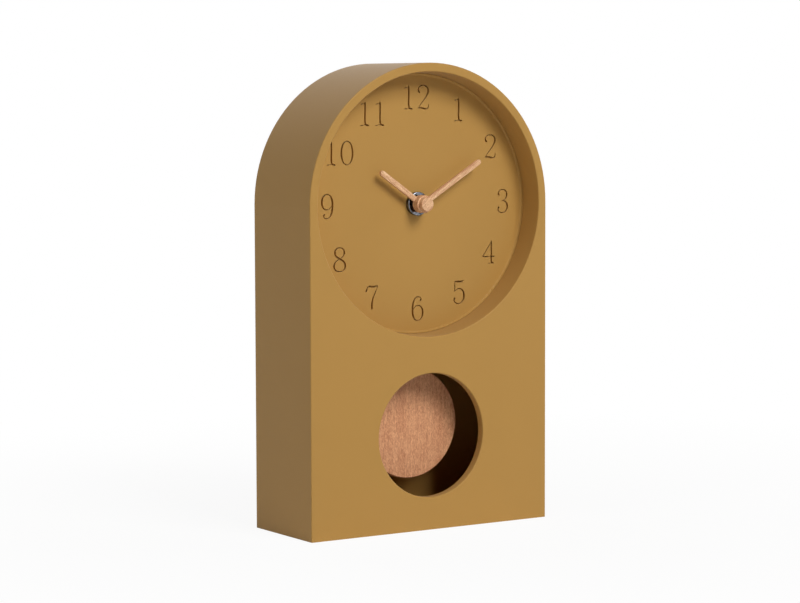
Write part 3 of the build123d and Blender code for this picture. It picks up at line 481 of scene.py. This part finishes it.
FOUR = [
    [(1.65, 6.4, 0.12), (1.7, 5.7, 0.44), (1.7, 0.0, 0.5), (1.7, -4.4, 0.5), (1.95, -5.6, 0.46),
     (2.8, -6.05, 0.4), (3.5, -6.2, 0.1)],
    [(-0.3, -6.2, 0.16), (0.6, -6.15, 0.22), (1.9, -5.9, 0.16)],
    [(1.4, 5.2, 0.2), (-1.4, 1.3, 0.28), (-4.0, -2.2, 0.3)],
    [(-4.15, -2.3, 0.14), (-3.5, -2.35, 0.32), (1.7, -2.35, 0.28), (3.7, -2.3, 0.3),
     (4.0, -2.2, 0.1)],
]
FIVE = [
    [(-2.9, 5.6, 0.2), (-1.8, 5.75, 0.46), (0.2, 5.55, 0.5), (1.9, 5.75, 0.46), (3.0, 6.2, 0.16)],
    [(-2.75, 5.6, 0.22), (-2.8, 3.2, 0.28), (-2.95, 0.5, 0.3)],
    [(-3.0, 0.35, 0.12), (-1.9, 1.2, 0.26), (0.2, 1.75, 0.3), (2.3, 0.7, 0.44), (3.15, -1.9, 0.56),
     (2.4, -4.7, 0.46), (0.2, -6.25, 0.28), (-2.1, -5.95, 0.26), (-3.25, -4.6, 0.34),
     (-3.05, -3.7, 0.52), (-2.55, -3.2, 0.46), (-2.35, -3.0, 0.1)],
]
SIX = [
    [(1.4, 3.95, 0.1), (1.63, 4.2, 0.46), (2.05, 4.75, 0.48), (1.95, 5.6, 0.28), (0.84, 6.3, 0.24),
     (-0.84, 6.1, 0.3), (-2.33, 4.5, 0.44), (-3.16, 1.6, 0.54), (-3.3, -1.2, 0.56),
     (-2.88, -3.9, 0.5), (-1.77, -5.7, 0.34), (0, -6.35, 0.24), (1.86, -5.6, 0.38),
     (3.07, -3.3, 0.54), (3.02, -0.8, 0.5), (1.77, 1.2, 0.34), (0.09, 1.7, 0.24),
     (-1.67, 1.0, 0.24), (-3.07, -0.9, 0.2)],
]
SEVEN = [
    [(-3.75, 2.9, 0.14), (-3.6, 3.4, 0.48), (-3.1, 4.6, 0.36), (-2.6, 5.6, 0.24)],
    [(-2.9, 5.7, 0.16), (-1.6, 5.95, 0.44), (0.4, 5.7, 0.5), (2.2, 5.85, 0.42), (3.8, 6.3, 0.14)],
    [(3.7, 6.2, 0.16), (2.3, 3.0, 0.26), (0.7, -0.4, 0.4), (0.0, -3.2, 0.54), (-0.15, -5.8, 0.58),
     (-0.2, -6.35, 0.4)],
]
EIGHT = [
    [(0.19, 6.38, 0.22), (-1.86, 5.7, 0.36), (-2.93, 3.8, 0.5), (-2.33, 2.0, 0.5), (0, 0.35, 0.46),
     (2.51, -1.2, 0.5), (3.49, -3.4, 0.54), (2.42, -5.6, 0.38), (-0.19, -6.38, 0.22)],
    [(-0.19, 6.38, 0.22), (1.86, 5.7, 0.32), (2.88, 3.8, 0.46), (2.05, 1.7, 0.3), (0, 0.35, 0.22),
     (-2.42, -1.2, 0.34), (-3.49, -3.4, 0.5), (-2.42, -5.6, 0.38), (0.19, -6.38, 0.22)],
]
NINE = [[(-x, -z, w) for x, z, w in stroke] for stroke in SIX]
ZERO = [
    [(0.2, 6.4, 0.2), (-1.9, 5.3, 0.36), (-3.2, 2.4, 0.52), (-3.45, 0.0, 0.56), (-3.2, -2.4, 0.52),
     (-1.9, -5.3, 0.36), (0.2, -6.4, 0.2)],
    [(-0.2, 6.4, 0.2), (1.9, 5.3, 0.36), (3.2, 2.4, 0.52), (3.45, 0.0, 0.56), (3.2, -2.4, 0.52),
     (1.9, -5.3, 0.36), (-0.2, -6.4, 0.2)],
]
DESIGN_HEIGHT = 12.8
# Each numeral, from 12 round to 11: how far it stands off the numeral circle's even division, right
# and up in mm, then its row of (figure, shift to the right in mm).
NUMERALS = [
    (0.2, 0.7, [(ONE, -4.7), (TWO, 4.7)]),
    (-0.4, 1.6, [(ONE, 0)]),
    (-0.1, 1.8, [(TWO, 0)]),
    (0.7, -0.1, [(THREE, 0)]),
    (-1.0, 0.3, [(FOUR, 0)]),
    (-0.1, -0.1, [(FIVE, 0)]),
    (1.0, -0.4, [(SIX, 0)]),
    (0, -0.6, [(SEVEN, 0)]),
    (0.5, -0.2, [(EIGHT, 0)]),
    (0.4, -0.1, [(NINE, 0)]),
    (0.3, -0.3, [(ONE, -4.7), (ZERO, 5.0)]),
    (0.7, -0.3, [(ONE, -4.7), (ONE, 4.7)]),
]
# Straight steps from one point of a stroke to the next.
STROKE_STEPS = 6
# The cutter starts this far in front of the dial's face, and what lies within the band is face.
CUTTER_RISE = 0.0004
FACE_BAND = CUTTER_RISE / 4
FLAT_ENOUGH = 0.9999
# A dial that keeps fewer than this share of its CAD faces wasn't cut but lost.
FACES_KEPT = 0.2


def stroke_curve(face_y):
    """A curve with one smooth line for each stroke of the twelve numerals, just off the face."""
    curve = bpy.data.curves.new("numeral_strokes", "CURVE")
    curve.dimensions = "3D"
    curve.resolution_u = STROKE_STEPS
    axis = centre_of("hand_nut")
    scale = sizes().numeral_height / DESIGN_HEIGHT
    for hour, (right, up, figures) in enumerate(NUMERALS):
        angle = math.tau * hour / len(NUMERALS)
        middle_x = axis.x + sizes().numeral_radius * math.sin(angle) + right * MM
        middle_z = axis.z + sizes().numeral_radius * math.cos(angle) + up * MM
        for strokes, shift in figures:
            for stroke in strokes:
                spline = curve.splines.new("BEZIER")
                spline.bezier_points.add(len(stroke) - 1)
                for point, (x, z, width) in zip(spline.bezier_points, stroke):
                    point.co = (middle_x + (x + shift) * scale, face_y, middle_z + z * scale)
                    point.radius = width * scale
                    point.handle_left_type = point.handle_right_type = "AUTO"
    return curve


def stroke_tree():
    """Geometry Nodes: a flat band as wide as each line's radius, made a closed block that cuts."""
    tree, group = node_tree(
        "Stroke Cutter", [("Depth", "NodeSocketFloat"), ("Material", "NodeSocketMaterial")]
    )
    flat = add(
        tree, "GeometryNodeSetCurveNormal", {"Curve": group, "Normal": (0, 1, 0)}, mode="FREE"
    )
    across = add(tree, "GeometryNodeCurvePrimitiveLine", {"Start": (0, -1, 0), "End": (0, 1, 0)})
    radius = add(tree, "GeometryNodeInputRadius")
    band = add(
        tree, "GeometryNodeCurveToMesh", {"Curve": flat, "Profile Curve": across, "Scale": radius}
    )
    way = add(tree, "ShaderNodeCombineXYZ", {"Y": group.outputs["Depth"]})
    block = add(
        tree, "GeometryNodeExtrudeMesh",
        {"Mesh": band, "Offset": way, "Offset Scale": 1.0, "Individual": False},
    )
    under = add(tree, "GeometryNodeFlipFaces", {"Mesh": band})
    both = add(tree, "GeometryNodeJoinGeometry", {"Geometry": [block, under]})
    closed = add(tree, "GeometryNodeMergeByDistance", {"Geometry": both, "Distance": TINY})
    end_tree(tree, closed, group.outputs["Material"])
    return tree


class CLOCK_OT_dial(bpy.types.Operator):
    """Makes the dial with its twelve engraved numerals, from a copy of the CAD dial."""

    bl_idname = "clock.dial"
    bl_label = "Engraved Dial"

    def execute(self, context):
        plastic = bpy.data.materials["Satin ABS, ochre"]
        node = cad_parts["dial_plate"]
        plate = show("dial_blank", node.data.copy())
        tidy_mesh(plate.data)
        plate.data.materials.clear()
        plate.data.materials.append(plastic)
        face_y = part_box("hand_nut")[1].y
        strokes = show("numeral_cutter", stroke_curve(face_y - CUTTER_RISE))
        depth = sizes().groove_depth + CUTTER_RISE
        use_tree(strokes, stroke_tree(), {"Depth": depth, "Material": plastic})
        cutter = settle(strokes, "numeral_blocks")
        work = bmesh.new()
        work.from_mesh(cutter.data)
        bmesh.ops.recalc_face_normals(work, faces=work.faces)
        work.to_mesh(cutter.data)
        work.free()
        cut = plate.modifiers.new("Engrave", "BOOLEAN")
        cut.operation = "DIFFERENCE"
        cut.solver = "EXACT"
        # The strokes of one numeral overlap.
        cut.use_self = True
        cut.object = cutter
        dial = settle(plate, "dial_engraved")
        bpy.data.objects.remove(cutter)
        tidy_mesh(dial.data)
        # The face is level, so it is shaded flat: its long thin triangles then leave no streaks.
        for polygon in dial.data.polygons:
            if polygon.normal.y < -FLAT_ENOUGH and abs(polygon.center.y - face_y) < FACE_BAND:
                polygon.use_smooth = False
        if len(dial.data.polygons) < len(node.data.polygons) * FACES_KEPT:
            raise RuntimeError("the numerals were not cut into the dial")
        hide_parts("dial_plate")
        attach(dial, "case")
        return {"FINISHED"}


# Case


class CLOCK_OT_case(bpy.types.Operator):
    """Finishes the case, its back cover and the screws of cover and dial."""

    bl_idname = "clock.case"
    bl_label = "Case"

    def execute(self, context):
        # Moulded ABS with a fine satin grain: it looks like a soft, even coat of paint, with a wide
        # dull sheen on the arch and no mirror-like spot.
        satin = moulded(
            "Satin ABS, ochre", finish().case, roughness=0.4, grain_mm=0.35, relief_mm=0.006,
            **{"Specular IOR Level": 0.15, "Sheen Weight": 0.12, "Sheen Roughness": 0.4},
        )
        dress(satin, "case_shell", "back_cover")
        # Zinc-plated steel: cool grey with a slight blue, dull where the plating is grainy.
        zinc = metal(
            "Zinc-plated steel", linear("#A9ABAE"), roughness=0.34, marks_mm=(0.5, 0.5, 0.5),
            relief_mm=0.004,
        )
        dress(zinc, "cover_screws", "dial_screws")
        return {"FINISHED"}


# Hands and bob


BEECH = {"line_mm": 0.6, "length_mm": 14, "contrast": 0.36, "fleck": 0.26}
# The cap's grain leans to the right, by this many radians.
CAP_TURN = (0, 0.9, 0)


class CLOCK_OT_hands(bpy.types.Operator):
    """Finishes the wooden hands, their cap, the chromed nut and the rubber washer."""

    bl_idname = "clock.hands"
    bl_label = "Hands"

    def execute(self, context):
        # Thin sanded beech: pale and slightly pink, with fine streaks and flecks along each hand.
        axis = centre_of("hand_nut")
        for node in ("hour_hand", "minute_hand"):
            low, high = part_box(node)
            # A hand leans to the side on which it reaches further from the axis.
            reach_x = high.x - axis.x if high.x - axis.x > axis.x - low.x else low.x - axis.x
            turn = (0, math.atan2(reach_x, high.z - axis.z), 0)
            name = "Sanded beech, " + node.replace("_", " ")
            dress(timber(name, finish().hands, turn=turn, centre=axis, **BEECH), node)
        cap = timber("Sanded beech, cap", finish().hands, turn=CAP_TURN, centre=axis, **BEECH)
        dress(cap, "minute_collar")
        # Chromium over nickel: a grey-blue mirror with small dull patches. Its colour is darkened
        # and the patches are made much darker and lighter in colour: painted dark and pale
        # reflections, so it shows the pale room on one side and the dark hands on the other.
        # The dark colour and the strong light and dark patches are painted reflection; only the
        # roughness of the patches is real.
        chrome = metal(
            "Worn chrome plate", linear("#70737A"), roughness=0.12, marks_mm=(1.6, 1.6, 1.6),
            relief_mm=0.15, gain=0.95,
        )
        dress(chrome, "hand_nut")
        # Soft black rubber: no shine, a powdery surface.
        rubber = moulded(
            "Black rubber", linear("#1A1A1B"), roughness=0.85, grain_mm=0.2, relief_mm=0.01
        )
        dress(rubber, "rubber_washer")
        return {"FINISHED"}


class CLOCK_OT_pendulum(bpy.types.Operator):
    """Finishes the oak bob, its steel rod and pivot pin, and the ferrite magnets."""

    bl_idname = "clock.pendulum"
    bl_label = "Pendulum"

    def execute(self, context):
        # Oak disc cut along the grain: warm brown, with upright streaks, wavy flecks and short open
        # pores.
        oak = timber(
            "Sanded oak", finish().bob, line_mm=0.7, length_mm=24, turn=(0, 0, 0),
            centre=centre_of("bob"), contrast=0.13, fleck=0.32,
        )
        dress(oak, "bob")
        # Cold-rolled strip: grey, with drawn marks along its length.
        strip = metal(
            "Rolled steel strip", linear("#9C9D9F"), roughness=0.3, marks_mm=(0.15, 0.15, 8),
            relief_mm=0.002,
        )
        dress(strip, "pendulum_rod", "pivot_pin")
        # Pressed ferrite: charcoal grey, matt and slightly sparkling.
        ferrite = moulded(
            "Pressed ferrite", linear("#3A3B3E"), roughness=0.6, grain_mm=0.12, relief_mm=0.01,
            cloud_mm=3, gain=0.08,
        )
        dress(ferrite, "lever_magnet", "rotor_magnet")
        return {"FINISHED"}


# Movement


class CLOCK_OT_movement(bpy.types.Operator):
    """Finishes the movement: housing, gears, lever, motor iron, boards, contacts and battery."""

    bl_idname = "clock.movement"
    bl_label = "Movement"

    def execute(self, context):
        # Black ABS with a matt spark-eroded texture: dark grey where light grazes it.
        housing = moulded(
            "Black ABS housing", finish().housing, roughness=0.52, grain_mm=0.3, relief_mm=0.02,
            cloud_mm=20, gain=0.05,
        )
        dress(housing, "movement_front", "movement_back")
        # Acetal: milky white, smooth and a little waxy, so light goes a short way in.
        acetal = moulded(
            "Natural acetal", finish().gears, roughness=0.38, grain_mm=0.4, relief_mm=0.003,
            cloud_mm=8, **{"Subsurface Weight": 0.2, "Subsurface Scale": 0.0008},
        )
        dress(
            acetal, "hour_wheel", "minute_arbor", "reverse_wheel", "setting_knob", "minute_wheel",
            "third_wheel", "seconds_wheel", "fifth_wheel", "rotor_arbor", "train_plate",
            "motor_bobbin", "drive_bobbin", "pendulum_lever",
        )
        # Soft magnetic iron, stamped: dull silver with fine rolling marks.
        iron = metal(
            "Stamped soft iron", linear("#A3A09A"), roughness=0.36, marks_mm=(0.2, 0.2, 5),
            relief_mm=0.003,
        )
        dress(iron, "stator", "motor_core", "crystal_can")
        # Paper pressed with resin: brown and waxy, with a weak weave.
        dress(laminate("Paper laminate board", linear("#7A5A2E")), "circuit_board", "drive_board")
        # Cast epoxy over the chip: near black, half dull.
        epoxy = moulded(
            "Cast black epoxy", linear("#161618"), roughness=0.35, grain_mm=0.5, relief_mm=0.01
        )
        dress(epoxy, "chip")
        # Nickel-plated spring steel: bright and slightly yellow, rolled across the case.
        nickel = metal(
            "Nickel-plated spring steel", linear("#C2BFB6"), roughness=0.2, marks_mm=(4, 0.3, 0.3),
            relief_mm=0.002,
        )
        dress(nickel, "contact_plus", "contact_minus")
        # Printed shrink sleeve on a steel can: dark green and glossy, with bare grey ends.
        dress(sleeve_material("Printed battery sleeve", finish().sleeve), "battery")
        return {"FINISHED"}


# Points on a turn of wire, and sides of the wire and of the core that it is wound on.
TURN_STEPS, WIRE_SIDES, CORE_SIDES = 28, 6, 48


def winding_tree():
    """Geometry Nodes: a wire wound round a core in touching turns, from one end to the other."""
    tree, group = node_tree(
        "Wire Winding",
        [("Radius", "NodeSocketFloat"), ("Length", "NodeSocketFloat"), ("Pitch", "NodeSocketFloat"),
         ("Material", "NodeSocketMaterial")],
    )
    radius, length, pitch = (group.outputs[name] for name in ("Radius", "Length", "Pitch"))
    wire = add(tree, "ShaderNodeMath", {0: pitch, 1: 0.5}, operation="MULTIPLY")
    line = add(tree, "ShaderNodeMath", {0: radius, 1: wire}, operation="SUBTRACT")
    span = add(tree, "ShaderNodeMath", {0: length, 1: pitch}, operation="SUBTRACT")
    turns = add(tree, "ShaderNodeMath", {0: span, 1: pitch}, operation="DIVIDE")
    helix = add(
        tree, "GeometryNodeCurveSpiral",
        {"Resolution": TURN_STEPS, "Rotations": turns, "Start Radius": line, "End Radius": line,
         "Height": span},
    )
    section = add(
        tree, "GeometryNodeCurvePrimitiveCircle", {"Resolution": WIRE_SIDES, "Radius": wire}
    )
    copper = add(
        tree, "GeometryNodeCurveToMesh",
        {"Curve": helix, "Profile Curve": section, "Fill Caps": True},
    )
    start = add(tree, "ShaderNodeCombineXYZ", {"Z": wire})
    raised = add(tree, "GeometryNodeTransform", {"Geometry": copper, "Translation": start})
    core = add(
        tree, "GeometryNodeMeshCylinder", {"Vertices": CORE_SIDES, "Radius": line, "Depth": length}
    )
    half = add(tree, "ShaderNodeMath", {0: length, 1: 0.5}, operation="MULTIPLY")
    middle = add(tree, "ShaderNodeCombineXYZ", {"Z": half})
    lifted = add(tree, "GeometryNodeTransform", {"Geometry": core, "Translation": middle})
    both = add(tree, "GeometryNodeJoinGeometry", {"Geometry": [raised, lifted]})
    end_tree(tree, both, group.outputs["Material"])
    return tree


class CLOCK_OT_windings(bpy.types.Operator):
    """Winds the motor's coil and the pendulum's drive coil with copper wire."""

    bl_idname = "clock.windings"
    bl_label = "Coil Windings"

    def execute(self, context):
        # Enamelled copper: red-brown and glossy. The real wire is under 0.1 mm thick, so the turns
        # are drawn coarser, to show at all.
        copper = metal(
            "Enamelled copper wire", linear("#B86B3C"), roughness=0.3, marks_mm=(1, 1, 1),
            relief_mm=0.002,
        )
        tree = winding_tree()
        for node, axis in (("motor_winding", "Z"), ("drive_winding", "Y")):
            low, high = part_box(node)
            size = high - low
            length = size.z if axis == "Z" else size.y
            coil = show(node + "_blank", bpy.data.meshes.new(node))
            values = {
                "Radius": size.x / 2, "Length": length, "Pitch": sizes().wire_pitch,
                "Material": copper,
            }
            use_tree(coil, tree, values)
            coil = settle(coil, node + "_turns")
            if not coil.data.polygons:
                raise RuntimeError(f"{node} came out empty")
            # A winding is made upright from the origin. The motor's stands so from its low end, and
            # the drive's is laid down to run forwards from its back end.
            middle = (low + high) / 2
            if axis == "Z":
                place = Matrix.Translation(Vector((middle.x, middle.y, low.z)))
            else:
                place = Matrix.Translation(Vector((middle.x, high.y, middle.z)))
                place = place @ Matrix.Rotation(math.radians(90), 4, "X")
            coil.data.transform(place)
            coil.data.shade_smooth()
            coil.data.set_sharp_from_angle(angle=SHARP_ANGLE)
            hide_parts(node)
            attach(coil, "case")
        return {"FINISHED"}


# Stage


# Metres, degrees and millimetres, fitted so that the clock's edges fall as in the photograph.
CAMERA_PLACE = (-0.76693, -1.18256, 0.23615)
CAMERA_AZIMUTH, CAMERA_ELEVATION, CAMERA_ROLL = -32.91763, 4.68906, -0.15619
CAMERA_LENS, CAMERA_SENSOR = 117.634, 36
CAMERA_CLIP = (0.01, 100)
# Each lamp's place and side, in metres. The one behind is small and close, so the case hides it
# from its own arch and side walls.
LAMPS = {
    "main": ((0.4, -2.6, 2.1), 1.5),
    "left": ((-2.6, -0.3, 1.3), 1.2),
    "right": ((2.9, -0.7, 0.7), 1.2),
    "behind": ((0.0, 0.75, 0.14), 0.14),
}
FLOOR_CORNERS = ((-1, -1), (1, -1), (1, 1), (-1, 1))
FLOOR_REACH = 6.0
# The floor's share of plain white near the clock and away from it, and the distances for these.
WHITE_NEAR, WHITE_FAR = 0.93, 1.0
NEAR, FAR = 0.12, 0.5


def soft_box(name, place, target, side, power):
    """A square lamp that shines from its place at a target."""
    lamp = bpy.data.lights.new(name, "AREA")
    lamp.size = side
    lamp.energy = power
    obj = show(name, lamp)
    obj.location = place
    way = Vector(target) - obj.location
    obj.rotation_euler = way.to_track_quat("-Z", "Y").to_euler()


def seen_directly(tree):
    """1 for rays that reach a backdrop from the camera, off a shiny surface or through glass."""
    path = add(tree, "ShaderNodeLightPath")
    first = add(
        tree, "ShaderNodeMath",
        {0: path.outputs["Is Camera Ray"], 1: path.outputs["Is Glossy Ray"]}, operation="MAXIMUM",
    )
    return add(
        tree, "ShaderNodeMath", {0: first, 1: path.outputs["Is Transmission Ray"]},
        operation="MAXIMUM",
    )


class CLOCK_OT_stage(bpy.types.Operator):
    """Sets up the pale floor, the white backdrop, the soft lamps and the camera."""

    bl_idname = "clock.stage"
    bl_label = "Stage"

    def execute(self, context):
        scene = context.scene
        levels = scene.clock_stage
        scene.view_settings.view_transform = "Standard"

        world = bpy.data.worlds.new("White backdrop")
        scene.world = world
        world.use_nodes = True
        tree = world.node_tree
        tree.nodes.clear()
        backdrop = add(
            tree, "ShaderNodeBackground", {"Color": (1, 1, 1, 1), "Strength": seen_directly(tree)}
        )
        add(tree, "ShaderNodeOutputWorld", {"Surface": backdrop})

        # Pale matt floor: it shows the clock's soft shadow and otherwise runs into the backdrop.
        pale = linear("#F4F3F1")
        mat, tree, where = new_material("Matt white floor", pale)
        matt = add(tree, "ShaderNodeBsdfDiffuse", {"Color": (*pale, 1)})
        glow = add(tree, "ShaderNodeEmission", {"Strength": 1.0})
        away = add(tree, "ShaderNodeVectorMath", {0: where}, operation="LENGTH")
        white = add(
            tree, "ShaderNodeMapRange",
            {"Value": away, "From Min": NEAR, "From Max": FAR, "To Min": WHITE_NEAR,
             "To Max": WHITE_FAR},
        )
        share = add(
            tree, "ShaderNodeMath", {0: white, 1: seen_directly(tree)}, operation="MULTIPLY"
        )
        mix = add(tree, "ShaderNodeMixShader", {0: share, 1: matt, 2: glow})
        add(tree, "ShaderNodeOutputMaterial", {"Surface": mix})
        mesh = bpy.data.meshes.new("floor")
        corners = [(x * FLOOR_REACH, y * FLOOR_REACH, 0) for x, y in FLOOR_CORNERS]
        mesh.from_pydata(corners, [], [(0, 1, 2, 3)])
        mesh.materials.append(mat)
        show("floor", mesh)

        middle = (cad_box[0] + cad_box[1]) / 2
        for name, (place, side) in LAMPS.items():
            soft_box(name, place, middle, side, getattr(levels, name))

        data = bpy.data.cameras.new("camera")
        data.lens = CAMERA_LENS
        data.sensor_width = CAMERA_SENSOR
        data.sensor_fit = "HORIZONTAL"
        data.clip_start, data.clip_end = CAMERA_CLIP
        camera = show("camera", data)
        turn, rise = math.radians(CAMERA_AZIMUTH), math.radians(CAMERA_ELEVATION)
        back = Vector(
            (math.sin(turn) * math.cos(rise), -math.cos(turn) * math.cos(rise), math.sin(rise))
        )
        right = (-back).cross(Vector((0, 0, 1))).normalized()
        up = right.cross(-back)
        roll = math.radians(CAMERA_ROLL)
        rolled_right = right * math.cos(roll) + up * math.sin(roll)
        rolled_up = up * math.cos(roll) - right * math.sin(roll)
        spin = Matrix((rolled_right, rolled_up, back)).transposed().to_4x4()
        camera.matrix_world = Matrix.Translation(Vector(CAMERA_PLACE)) @ spin
        scene.camera = camera
        return {"FINISHED"}


class CLOCK_PT_panel(bpy.types.Panel):
    """Lists the clock's colours, sizes and lamp levels, and a button for each group of pieces."""

    bl_idname = "CLOCK_PT_panel"
    bl_label = "Desk Pendulum Clock"
    bl_space_type = "VIEW_3D"
    bl_region_type = "UI"
    bl_category = "Clock"

    def draw(self, context):
        scene = context.scene
        for group in (scene.clock_finish, scene.clock_sizes, scene.clock_stage):
            box = self.layout.box()
            for key in group.__annotations__:
                box.prop(group, key)
        for operator in OPERATORS:
            self.layout.operator(operator.bl_idname)


OPERATORS = (
    CLOCK_OT_case, CLOCK_OT_dial, CLOCK_OT_hands, CLOCK_OT_pendulum, CLOCK_OT_movement,
    CLOCK_OT_windings, CLOCK_OT_stage,
)
GROUPS = {"clock_finish": ClockFinish, "clock_sizes": ClockSizes, "clock_stage": ClockStage}


def register():
    for cls in (*GROUPS.values(), *OPERATORS, CLOCK_PT_panel):
        bpy.utils.register_class(cls)
    for key, cls in GROUPS.items():
        setattr(bpy.types.Scene, key, bpy.props.PointerProperty(type=cls))


def unregister():
    for key in GROUPS:
        delattr(bpy.types.Scene, key)
    for cls in (CLOCK_PT_panel, *reversed(OPERATORS), *reversed(GROUPS.values())):
        bpy.utils.unregister_class(cls)


def main():
    register()
    for operator in OPERATORS:
        group, name = operator.bl_idname.split(".")
        getattr(getattr(bpy.ops, group), name)()
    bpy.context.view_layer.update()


if __name__ == "__main__":
    main()
